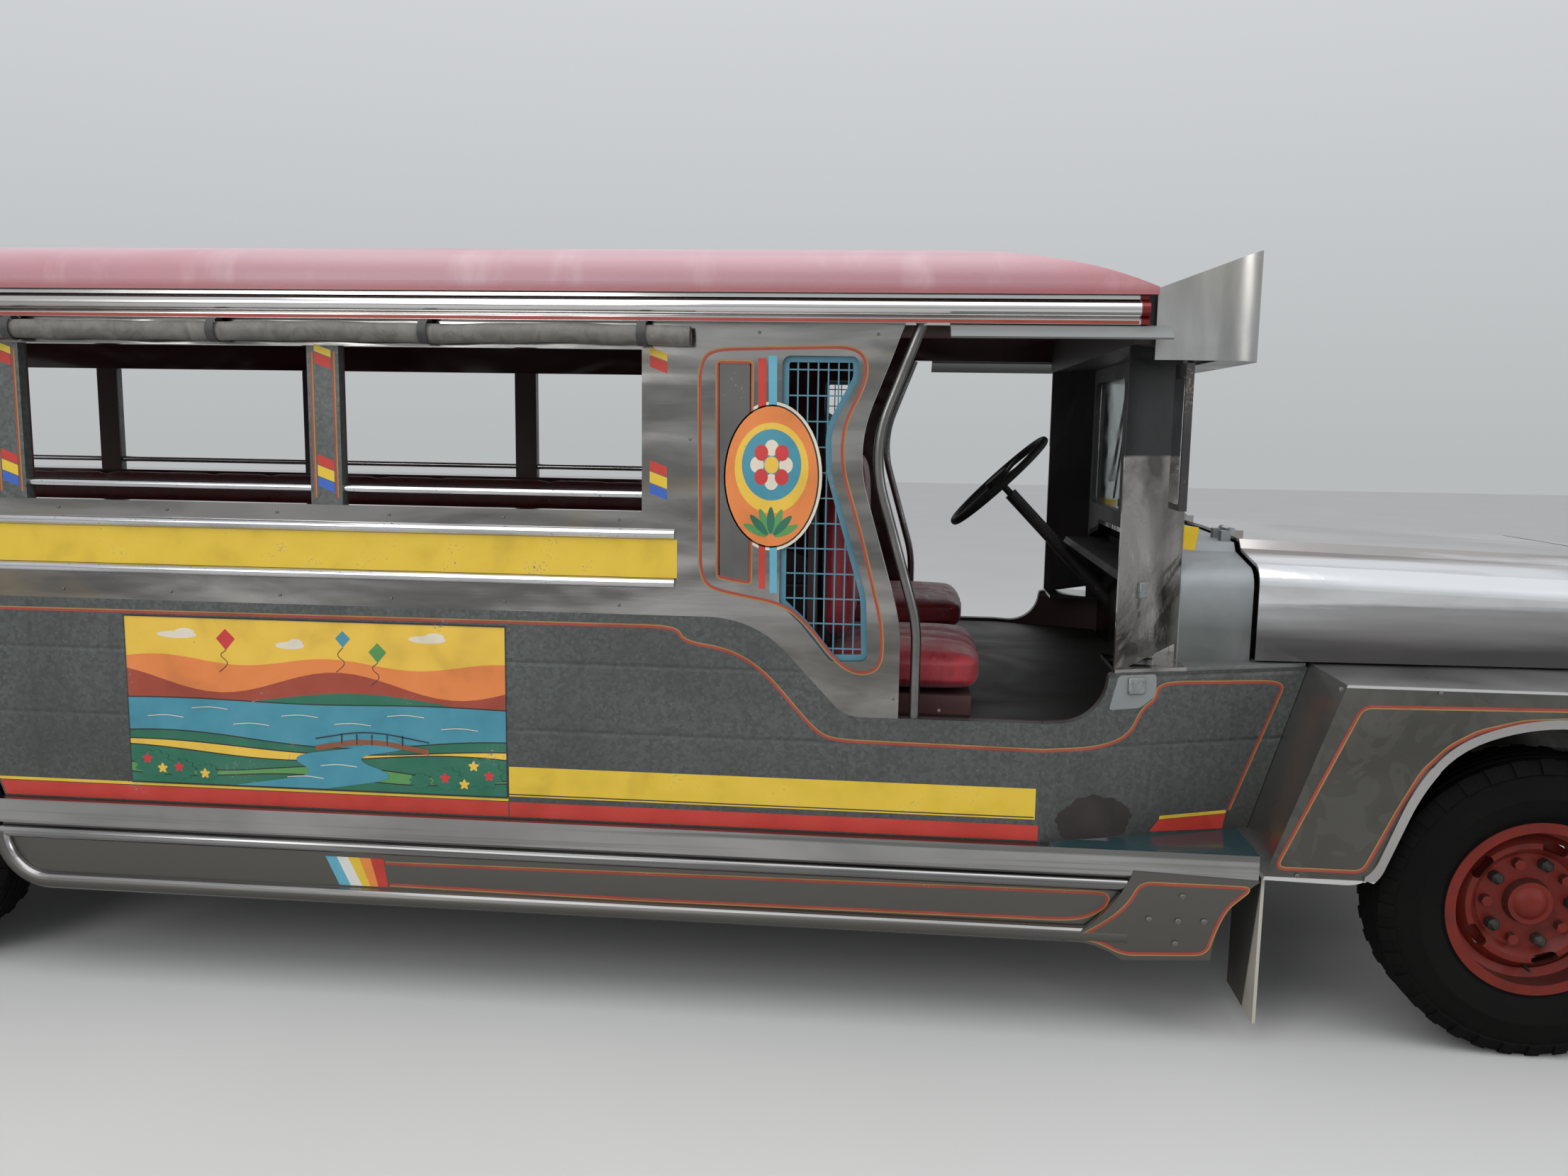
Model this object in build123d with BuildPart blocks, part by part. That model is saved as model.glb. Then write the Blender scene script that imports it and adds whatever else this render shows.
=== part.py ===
from build123d import *
import os
from math import asin, cos, radians, sin, sqrt

# Long-bodied passenger jeepney, millimetres. +X forward, +Y to its left, +Z up.
# Origin on the ground, at the middle of its length and width.
# Every pair is built on the right side first, then mirrored to the left.

# Overall sizes
wheelbase = 4400.0
front_overhang = 700.0
rear_overhang = 1450.0
half_width = 900.0
length = front_overhang + wheelbase + rear_overhang
front_axle_x = length / 2 - front_overhang
gap = 0.3
moving_gap = 8.0

# Wheels and tyres
tyre_radius = 382.0
tyre_half_width = 95.0
rim_radius = 205.0
rim_half_width = 66.0
flange_radius = 222.0
rim_wall = 8.0
wheel_centre_y = half_width - 125.0
bolt_circle = 205.0
lug_count = 5
lug_radius = 14.0
slot_count = 5
hub_radius = 50.0
spindle_radius = 30.0
running_fit = 0.05
drum_radius = 160.0
drum_inner = 62.0

# Steering
kingpin_y = wheel_centre_y - 110.0
kingpin_radius = 14.0
boss_radius = 28.0
boss_half_height = 45.0
ear_thickness = 24.0
ear_gap = 1.0
arm_length = 150.0
stud_radius = 8.0
rod_radius = 11.0
open_eye_gap = 0.5

# Chassis
rail_centre_y = 350.0
rail_width = 70.0
rail_bottom = 560.0
rail_height = 140.0
rail_wall = 8.0
rail_front = -600.0
rail_top = rail_bottom + rail_height
spring_width = 60.0
leaf_thickness = 10.0
leaf_count = 5
beam_height = 60.0
beam_width = 50.0
beam_top = tyre_radius - 10.0
axle_tube_radius = 50.0

# Body shell
wall_face = half_width - 30.0
wall = 35.0
inner_face = wall_face - wall
step_reach = 150.0
body_rear = wheelbase + rear_overhang - step_reach
rail_rear = body_rear - 60
floor_bottom = 778.0
floor_thickness = 22.0
floor_top = floor_bottom + floor_thickness
panel_bottom = 504.0
panel_top = 1055.0
sill_height = 810.0
roof_base = 1869.0
crown_rise = 166.0
roof_crown = roof_base + crown_rise
gutter_low = roof_base - 84
header_bottom = roof_base - 124
window_top = roof_base - 149
taper_start = 1223.0
taper_end = 661.0
taper_face = wall_face - 198.0
shelf_bottom = sill_height + 120.0
shelf_thickness = 10.0
door_front = 1046.0

# Side windows
window_sill = 1317.0
first_window = 2242.0
window_count = 4
window_pitch = (body_rear - first_window - 2) / window_count
post_width = 84.0
window_width = window_pitch - post_width

# Rear wheel arch
arch_radius = 412.0
wheel_house_wall = 12.0
wheel_house_top = 870.0
wheel_house_inner = wheel_centre_y - 135.0

# Front end
hood_rear = 660.0
hood_front = -395.0
fender_top = shelf_bottom + shelf_thickness
hood_bottom = fender_top + 6.0
hood_sheet = 8.0
hood_half_rear = 640.0
hood_half_front = 600.0
hood_top_rear = 1250.0
hood_top_front = 1215.0
fender_sheet = 10.0
fender_rear_top = 514.0
fender_rear_low = 680.0
fender_low = 445.0
apron_y = 465.0
cowl_inset = 22.0
firewall = 856.0
firewall_sheet = 14.0
windshield_front = 880.0
windshield_depth = 35.0
cowl_top = hood_top_rear - 12.0


def behind(distance):
    """X of a station this far behind the front axle."""
    return front_axle_x - distance


def side_plane(y):
    """Upright lengthwise plane: (behind, up), extrusions run towards the left."""
    return Plane(origin=(front_axle_x, y, 0), x_dir=(-1, 0, 0), z_dir=(0, 1, 0))


def cross_plane(distance):
    """Upright crosswise plane: (right, up), extrusions run rearwards."""
    return Plane(origin=(behind(distance), 0, 0), x_dir=(0, -1, 0), z_dir=(-1, 0, 0))


def plan_plane(z):
    """Level plane: (behind, right), extrusions run upwards."""
    return Plane(origin=(front_axle_x, 0, z), x_dir=(-1, 0, 0), z_dir=(0, 0, 1))


def block(x0, x1, y0, y1, z0, z1, mode=Mode.ADD):
    """Box from its limits: behind, right, up."""
    with BuildSketch(plan_plane(z0)) as footprint:
        with Locations(((x0 + x1) / 2, (y0 + y1) / 2)):
            Rectangle(abs(x1 - x0), abs(y1 - y0))
    extrude(footprint.sketch, amount=z1 - z0, mode=mode)


def rod(start, end, radius, mode=Mode.ADD):
    """Round bar between two points given as behind, right, up."""
    first = Vector(behind(start[0]), -start[1], start[2])
    last = Vector(behind(end[0]), -end[1], end[2])
    with BuildSketch(Plane(origin=first, z_dir=last - first)) as section:
        Circle(radius)
    extrude(section.sketch, amount=(last - first).length, mode=mode)


def taper_y(distance):
    """Outer face of the lower panel where it tapers in ahead of the doorway sill."""
    share = (taper_start - distance) / (taper_start - taper_end)
    return wall_face - share * (wall_face - taper_face)


def dome(face, height, radius):
    """Middle and tip of a round cap this high and wide, standing on a face, as (along, out)."""
    ball = (radius**2 + height**2) / (2 * height)
    half = asin(radius / ball) / 2
    return (face + height - ball * (1 - cos(half)), ball * sin(half)), (face + height, 0)


def save(piece, label):
    piece.part.label = label
    export_step(piece.part, f"parts/{label}.step")


def mirrored(piece):
    with BuildPart() as twin:
        mirror(piece.part, about=Plane.XZ)
    return twin


# Tyre, about a wheel centre at the origin that faces +Y
def make_tyre():
    with BuildPart() as tyre:
        with BuildSketch(Plane.YZ):
            with BuildLine():
                Polyline(
                    (-rim_half_width + gap, flange_radius + 6),
                    (-rim_half_width + 2, rim_radius),
                    (rim_half_width - 2, rim_radius),
                    (rim_half_width - gap, flange_radius + 6),
                )
                for side in (1, -1):
                    ThreePointArc(
                        (side * (rim_half_width - gap), flange_radius + 6),
                        (side * tyre_half_width, tyre_radius - 82),
                        (side * (tyre_half_width - 12), tyre_radius - 20),
                    )
                    Line(
                        (side * (tyre_half_width - 12), tyre_radius - 20),
                        (side * (tyre_half_width - 28), tyre_radius - 3),
                    )
                ThreePointArc(
                    (tyre_half_width - 28, tyre_radius - 3),
                    (0, tyre_radius),
                    (28 - tyre_half_width, tyre_radius - 3),
                )
            make_face()
        revolve(axis=Axis.Y)
    return tyre


# Steel wheel with its hub and brake drum, about the same centre
def make_wheel():
    seat = rim_radius - gap
    with BuildPart() as wheel:
        with BuildSketch(Plane.YZ):
            Polygon(
                (-rim_half_width - 6, seat - rim_wall),
                (-rim_half_width - 6, flange_radius),
                (-rim_half_width, flange_radius),
                (-rim_half_width, seat),
                (-42, seat),
                (-32, seat - 20),
                (8, seat - 20),
                (18, seat),
                (rim_half_width, seat),
                (rim_half_width, flange_radius),
                (rim_half_width + 6, flange_radius),
                (rim_half_width + 6, seat - rim_wall),
                (22, seat - rim_wall),
                (12, seat - 20 - rim_wall),
                (-36, seat - 20 - rim_wall),
                (-46, seat - rim_wall),
                align=None,
            )
        revolve(axis=Axis.Y)
        with BuildSketch(Plane.YZ):
            Polygon(
                (-2, 40), (8, 40), (8, 122), (30, 142), (30, 156), (6, seat - 26),
                (-6, seat - 26), (20, 153), (20, 146), (-2, 126),
                align=None,
            )
        revolve(axis=Axis.Y)
        with BuildSketch(Plane.YZ):
            with BuildLine():
                middle, tip = dome(30, 18, hub_radius - 8)
                Polyline(tip, (-drum_inner, 0), (-drum_inner, hub_radius + 20),
                         (-54, hub_radius + 20), (-54, drum_radius), (-2, drum_radius),
                         (-2, hub_radius + 12), (30, hub_radius + 4), (30, hub_radius - 8))
                ThreePointArc((30, hub_radius - 8), middle, tip)
            make_face()
        revolve(axis=Axis.Y)
        with BuildSketch(Plane(origin=(0, -drum_inner, 0), x_dir=(1, 0, 0), z_dir=(0, 1, 0))):
            Circle(spindle_radius + running_fit)
        extrude(amount=drum_inner + 20, mode=Mode.SUBTRACT)
        with BuildSketch(Plane(origin=(0, 8, 0), x_dir=(1, 0, 0), z_dir=(0, 1, 0))):
            with PolarLocations(bolt_circle / 2, lug_count):
                RegularPolygon(lug_radius, 6)
        extrude(amount=20)
        with BuildSketch(Plane(origin=(0, -8, 0), x_dir=(1, 0, 0), z_dir=(0, 1, 0))):
            with PolarLocations(150, slot_count, start_angle=36):
                SlotOverall(64, 26, rotation=90)
        extrude(amount=50, mode=Mode.SUBTRACT)
    return wheel


# Steering knuckle with kingpin, spindle and arm; its place is on the right side
def knuckle_solids(rod_pin_gap):
    ear_top = boss_half_height + ear_gap
    centre = tyre_radius
    web_outer = wheel_centre_y - drum_inner - 3
    for low in (centre - ear_top - ear_thickness, centre + ear_top):
        block(-30, 30, kingpin_y - 30, web_outer, low, low + ear_thickness)
    block(-30, 30, web_outer - 12, web_outer, centre - ear_top, centre + ear_top)
    rod((0, kingpin_y, centre - ear_top - 2), (0, kingpin_y, centre + ear_top + 2), kingpin_radius)
    rod((0, web_outer, centre), (0, wheel_centre_y + 15, centre), spindle_radius)
    arm_low = centre - ear_top - ear_thickness
    block(20, arm_length, kingpin_y - 12, kingpin_y + 12, arm_low, arm_low + ear_thickness)
    rod((arm_length, kingpin_y, arm_low), (arm_length, kingpin_y, arm_low + ear_thickness), 22)
    rod(
        (arm_length, kingpin_y, arm_low - 1),
        (arm_length, kingpin_y, arm_low + ear_thickness + 1),
        stud_radius + rod_pin_gap,
        mode=Mode.SUBTRACT,
    )


os.makedirs("parts", exist_ok=True)

# Four tyres and four wheels
pattern_tyre = make_tyre()
pattern_wheel = make_wheel()
corners = [("front", 0.0), ("rear", wheelbase)]
for end, distance in corners:
    for side, sign, turn in (("left", 1, 0), ("right", -1, 180)):
        place = Location((behind(distance), sign * wheel_centre_y, tyre_radius), (0, 0, turn))
        for kind, pattern in (("tyre", pattern_tyre), ("wheel", pattern_wheel)):
            with BuildPart() as copy:
                with Locations(place):
                    add(pattern.part)
            save(copy, f"{kind}_{end}_{side}")

# Knuckles and tie rod; the rod hangs on the left arm and its right eye is left open
with BuildPart() as knuckle_right:
    knuckle_solids(open_eye_gap)
save(knuckle_right, "knuckle_right")
with BuildPart() as left_pattern:
    knuckle_solids(running_fit)
save(mirrored(left_pattern), "knuckle_left")

arm_low = tyre_radius - boss_half_height - ear_gap - ear_thickness
with BuildPart() as tie_rod:
    rod_z = arm_low - rod_radius - 4
    rod((arm_length, -kingpin_y, rod_z), (arm_length, kingpin_y, rod_z), rod_radius)
    for side in (-1, 1):
        rod((arm_length, side * kingpin_y, rod_z - 14), (arm_length, side * kingpin_y, arm_low - 1), 18)
        rod((arm_length, side * kingpin_y, arm_low - 2), (arm_length, side * kingpin_y,
            arm_low + ear_thickness), stud_radius)
save(tie_rod, "tie_rod")

# Front axle: a drop beam with a bored boss for each kingpin
with BuildPart() as front_axle:
    lift = 40.0
    boss_z = tyre_radius
    with BuildSketch(cross_plane(-beam_width / 2)):
        with BuildLine():
            Polyline(
                (0, beam_top), (440, beam_top), (530, beam_top + lift), (kingpin_y - 20, beam_top + lift),
                (kingpin_y - 20, boss_z - 30), (545, boss_z - 30), (455, beam_top - beam_height),
                (0, beam_top - beam_height), (0, beam_top),
            )
        make_face()
        mirror(about=Plane.YZ)
    extrude(amount=beam_width)
    for side in (-1, 1):
        rod((0, side * kingpin_y, boss_z - boss_half_height), (0, side * kingpin_y, boss_z + boss_half_height),
            boss_radius)
    for side in (-1, 1):
        rod((0, side * kingpin_y, boss_z - boss_half_height - 1), (0, side * kingpin_y,
            boss_z + boss_half_height + 1), kingpin_radius + running_fit, mode=Mode.SUBTRACT)
save(front_axle, "front_axle")

# Rear axle: tube, differential, spindles, and the propeller shaft on its nose
gearbox_rear = 1150.0
shaft_front_z = 545.0
shaft_joint = wheelbase - 1630
with BuildPart() as rear_axle:
    tube_end = wheel_centre_y - drum_inner - 3
    spindle_end = wheel_centre_y + 15
    rod((wheelbase, -tube_end, tyre_radius), (wheelbase, tube_end, tyre_radius), axle_tube_radius)
    rod((wheelbase, -spindle_end, tyre_radius), (wheelbase, spindle_end, tyre_radius), spindle_radius)
    with BuildSketch(cross_plane(wheelbase)):
        with BuildLine():
            Polyline((-120, tyre_radius + 55), (-120, tyre_radius + 40), (120, tyre_radius + 40),
                     (120, tyre_radius + 55))
            ThreePointArc((120, tyre_radius + 55), (0, tyre_radius + 125), (-120, tyre_radius + 55))
        make_face()
    revolve(axis=Axis((behind(wheelbase), 0, tyre_radius), (0, 1, 0)))
    rod((wheelbase - 90, 0, tyre_radius), (wheelbase - 220, 0, tyre_radius), 55)
    rod((wheelbase - 215, 0, tyre_radius), (shaft_joint + 12, 0, shaft_front_z - 1), 34)
    rod((shaft_joint - 10, 0, shaft_front_z), (gearbox_rear + gap, 0, shaft_front_z), 32)
    rod((shaft_joint + 42, 0, shaft_front_z), (shaft_joint - 42, 0, shaft_front_z), 52)
save(rear_axle, "rear_axle")


# Leaf springs with their hangers, standing on an axle seat
def leaf_spring(distance, seat, half_length, eye_height):
    pack = leaf_count * leaf_thickness
    rise = eye_height - (seat + pack)
    curve = (half_length**2 + rise**2) / (2 * rise)
    centre = seat + pack + curve

    def spot(angle, radius):
        return (distance + radius * sin(angle), centre - radius * cos(angle))

    with BuildSketch(side_plane(-rail_centre_y - spring_width / 2)) as leaves:
        for leaf in range(leaf_count):
            reach = asin(half_length * (1 - leaf / (leaf_count + 1)) / curve)
            inner = curve + leaf * leaf_thickness
            outer = inner + leaf_thickness
            with BuildLine():
                ThreePointArc(spot(-reach, inner), spot(0, inner), spot(reach, inner))
                Line(spot(reach, inner), spot(reach, outer))
                ThreePointArc(spot(reach, outer), spot(0, outer), spot(-reach, outer))
                Line(spot(-reach, outer), spot(-reach, inner))
            make_face()
    extrude(leaves.sketch, amount=spring_width)
    end = asin(half_length / curve)
    for angle in (-end, end):
        x, z = spot(angle, curve)
        rod((x, rail_centre_y - 34, z), (x, rail_centre_y + 34, z), 24)
        block(x - 22, x + 22, rail_centre_y - 34, rail_centre_y + 34, z, rail_bottom)
    top = seat + pack
    block(distance - 60, distance + 60, rail_centre_y - 42, rail_centre_y + 42, top - 4, top + 12)


with BuildPart() as leaf_springs:
    leaf_spring(0.0, beam_top, 480.0, 506.0)
    leaf_spring(wheelbase, tyre_radius + axle_tube_radius, 620.0, 520.0)
    mirror(about=Plane.XZ)
save(leaf_springs, "leaf_springs")

# Chassis rails: two channels that face each other
rail_outer = rail_centre_y + rail_width / 2
rail_inner = rail_centre_y - rail_width / 2
with BuildPart() as chassis_rails:
    with BuildSketch(cross_plane(rail_front)):
        Polygon(
            (rail_outer, rail_bottom), (rail_outer, rail_top), (rail_inner, rail_top),
            (rail_inner, rail_top - rail_wall), (rail_outer - rail_wall, rail_top - rail_wall),
            (rail_outer - rail_wall, rail_bottom + rail_wall), (rail_inner, rail_bottom + rail_wall),
            (rail_inner, rail_bottom),
            align=None,
        )
    extrude(amount=rail_rear - rail_front)
    mirror(about=Plane.XZ)
save(chassis_rails, "chassis_rails")

# Cross members inside the channels, and the floor's bearers on top of them
cross_members = [-500.0, 1230.0, wheelbase - 1640, wheelbase - 700, wheelbase + 600, body_rear - 100]
bearers = [1000.0, 1700.0, wheelbase - 1700, wheelbase - 1200, wheelbase - 600, wheelbase + 600,
           body_rear - 140]
member_width = 80.0
member_depth = 80.0
member_top = rail_top - rail_wall - gap
member_half = rail_outer - rail_wall - gap
bearer_width = 50.0
with BuildPart() as cross_beams:
    for station in cross_members:
        block(station - member_width / 2, station + member_width / 2, -member_half, member_half,
              member_top - member_depth, member_top)
    for station in bearers:
        reach = min(inner_face, taper_y(station - bearer_width / 2) - wall) - 6
        block(station - bearer_width / 2, station + bearer_width / 2, -reach, reach, rail_top, floor_bottom)
save(cross_beams, "cross_members")

# Engine as one plain block with its gearbox, and the radiator ahead of it
with BuildPart() as engine:
    block(-130, 620, -200, 200, 470, 1090)
    block(615, 850, -160, 160, 470, 740)
    block(845, gearbox_rear, -110, 110, 470, 680)
    for station in (60, 480):
        block(station - 40, station + 40, -rail_centre_y, rail_centre_y, rail_top, rail_top + 12)
    block(-360, -300, -290, 290, 620, 1130)
    block(-350, -310, -rail_centre_y, rail_centre_y, rail_top, rail_top + 10)
save(engine, "engine")

# Exhaust: pipe and silencer outside the left rail, fuel tank outside the right one
exhaust_y = -460.0
exhaust_z = 520.0
pipe_radius = 25.0
with BuildPart() as exhaust:
    with BuildLine(plan_plane(exhaust_z)) as pipe_path:
        FilletPolyline((560, -200), (560, exhaust_y), (body_rear - 200, exhaust_y), radius=60)
    with BuildSketch(Plane(origin=pipe_path.line @ 0, z_dir=pipe_path.line % 0)):
        Circle(pipe_radius)
    sweep(path=pipe_path.line)
    rod((wheelbase - 2200, exhaust_y, exhaust_z), (wheelbase - 1600, exhaust_y, exhaust_z), 3 * pipe_radius)
    for station in (bearers[1], bearers[3], bearers[5]):
        block(station - 15, station + 15, exhaust_y - 6, exhaust_y + 6, exhaust_z, rail_top)
save(exhaust, "exhaust")
with BuildPart() as fuel_tank:
    block(wheelbase - 1840, wheelbase - 1060, 470, inner_face - 35, 400, 660)
    for station in (bearers[2], bearers[3]):
        block(station - 25, station + 25, 480, inner_face - 45, 655, rail_top)
save(fuel_tank, "fuel_tank")

# Floor plate with a notch and a house for each rear wheel
house_front = wheelbase - arch_radius - 18
house_rear = wheelbase + arch_radius + 18
house_bottom = panel_bottom + 60
with BuildPart() as floor:
    front_y = taper_y(firewall + firewall_sheet) - wall - 4
    with BuildSketch(plan_plane(floor_bottom)):
        Polygon(
            (firewall + firewall_sheet, front_y), (taper_start, inner_face - gap),
            (body_rear - wall, inner_face - gap), (body_rear - wall, gap - inner_face),
            (taper_start, gap - inner_face), (firewall + firewall_sheet, -front_y),
            align=None,
        )
    extrude(amount=floor_thickness)
    for side in (-1, 1):
        block(house_front - gap, house_rear + gap, side * (wheel_house_inner - gap), side * inner_face,
              floor_bottom - 1, floor_top + 1, mode=Mode.SUBTRACT)
    for side in (-1, 1):
        block(house_front, house_rear, side * wheel_house_inner, side * (inner_face - gap), house_bottom,
              wheel_house_top)
    for side in (-1, 1):
        block(house_front + wheel_house_wall, house_rear - wheel_house_wall,
              side * (wheel_house_inner + wheel_house_wall), side * (inner_face + 1),
              house_bottom - 1, wheel_house_top - wheel_house_wall, mode=Mode.SUBTRACT)
save(floor, "floor")

# Lower side panels: flat behind the doorway, tapering in ahead of it
fender_slope = (fender_rear_low - fender_rear_top) / (fender_top - fender_low)


def fender_rear(z):
    """Station of the fender's slanted rear face at this height."""
    return fender_rear_top + (fender_top - z) * fender_slope


step_corners = [(1952.0, panel_top), (1722.0, sill_height)]
step_radii = [275.0, 90.0]
panel_nose = taper_end - 180
with BuildPart() as lower_sides:
    with BuildSketch(plan_plane(panel_bottom)):
        Polygon(
            (panel_nose, taper_y(panel_nose)), (taper_start, wall_face), (body_rear, wall_face),
            (body_rear, inner_face), (taper_start, inner_face), (panel_nose, taper_y(panel_nose) - wall),
            align=None,
        )
    extrude(amount=panel_top - panel_bottom)
    with BuildSketch(side_plane(-wall_face - 5)):
        with BuildLine():
            top_edge = FilletPolyline((body_rear, panel_top), *step_corners, (1400, sill_height), radius=step_radii)
            front_edge = FilletPolyline(
                top_edge @ 1, (1078, sill_height), (1060, shelf_bottom),
                (fender_rear(shelf_bottom) + 1, shelf_bottom), radius=[110, 12],
            )
            Polyline(front_edge @ 1, (fender_rear(panel_bottom) + 1, panel_bottom), (body_rear, panel_bottom),
                     (body_rear, panel_top))
        make_face()
    extrude(amount=400, mode=Mode.INTERSECT)
    with BuildSketch(side_plane(-wall_face - 5)):
        with Locations((wheelbase, tyre_radius)):
            Circle(arch_radius)
    extrude(amount=wall + 10, mode=Mode.SUBTRACT)
    mirror(about=Plane.XZ)
save(lower_sides, "lower_sides")

# Grab tube beside the doorway: straight runs joined by tangent arcs
doorway_height = gutter_low - sill_height
tube_points = [  # station, height
    (1555.0, gutter_low),
    (1672.0, sill_height + 0.687 * doorway_height),
    (1547.0, sill_height + 0.246 * doorway_height),
    (1547.0, sill_height),
]
tube_radii = [350.0, 400.0]
tube_radius = 13.0
panel_setback = 40.0


def door_edge(shift):
    """The doorway's rear edge, moved rearwards."""
    return [(x + shift, z) for x, z in tube_points]


# Upper sides: the belt below the windows and, ahead of them, the full panel with its mesh opening
mesh_corners = [  # station, height as a share of the doorway's, corner radius
    (1892.0, 0.920, 20.0),
    (1707.0, 0.920, 18.0),
    (1703.0, 0.867, 60.0),
    (1770.0, 0.738, 140.0),
    (1766.0, 0.631, 200.0),
    (1674.0, 0.313, 200.0),
    (1668.0, 0.147, 18.0),
    (1760.0, 0.144, 25.0),
    (1838.0, 0.241, 100.0),
    (1892.0, 0.291, 20.0),
]
mesh_outline = [(x, sill_height + share * doorway_height) for x, share, _ in mesh_corners]
mesh_radii = [radius for _, _, radius in mesh_corners]
with BuildPart() as upper_sides:
    with BuildSketch(side_plane(-wall_face)):
        with BuildLine():
            edge = FilletPolyline(*door_edge(panel_setback), radius=tube_radii)
            low_edge = FilletPolyline((body_rear, panel_top), *step_corners, edge @ 1, radius=step_radii)
            Polyline(
                (body_rear, panel_top), (body_rear, window_sill), (first_window, window_sill),
                (first_window, roof_base), (door_front - 20, roof_base), (door_front - 20, gutter_low), edge @ 0,
            )
        make_face()
    extrude(amount=wall)
    with BuildSketch(side_plane(-wall_face)):
        with BuildLine():
            FilletPolyline(*mesh_outline, radius=mesh_radii, close=True)
        make_face()
    extrude(amount=wall, mode=Mode.SUBTRACT)
    mirror(about=Plane.XZ)
save(upper_sides, "upper_sides")

# Window headers, one along each side, and the posts between belt and header
with BuildPart() as window_headers:
    block(first_window + gap, body_rear, inner_face, wall_face, window_top, roof_base)
    mirror(about=Plane.XZ)
save(window_headers, "window_headers")
with BuildPart() as window_posts:
    for number in range(1, window_count + 1):
        post_rear = min(first_window + number * window_pitch, body_rear)
        block(first_window + number * window_pitch - post_width, post_rear, inner_face, wall_face,
              window_sill + gap, window_top - gap)
    mirror(about=Plane.XZ)
save(window_posts, "window_posts")

# Wire panels in the upper sides: upright and level wires welded in one plane
wire = 3.5
mesh_frame = 15.0
upright_pitch = 25.0
upright_count = 9
level_pitch = 63.0
level_count = 12
mesh_middle = (1780.0, sill_height + 0.531 * doorway_height)
grille_setback = 12.0
grille_sheet = 8.0


def mesh_face(inset, mode=Mode.ADD):
    """The mesh opening as a face, drawn in all round by the inset."""
    with BuildLine(mode=Mode.PRIVATE) as outline:
        FilletPolyline(*mesh_outline, radius=mesh_radii, close=True)
    face = make_face(outline.line.edges(), mode=Mode.PRIVATE)
    offset(face, amount=-inset, mode=mode)


with BuildPart() as wire_grilles:
    with BuildSketch(side_plane(-wall_face + grille_setback)):
        mesh_face(gap)
        mesh_face(mesh_frame, mode=Mode.SUBTRACT)
    extrude(amount=grille_sheet)
    with BuildSketch(side_plane(-wall_face + grille_setback + 2)):
        with Locations(mesh_middle):
            with GridLocations(upright_pitch, 1, upright_count, 1):
                Rectangle(wire, doorway_height - 175)
            with GridLocations(1, level_pitch, 1, level_count):
                Rectangle(300, wire)
        mesh_face(mesh_frame / 2, mode=Mode.INTERSECT)
    extrude(amount=wire)
    mirror(about=Plane.XZ)
save(wire_grilles, "wire_grilles")

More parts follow.
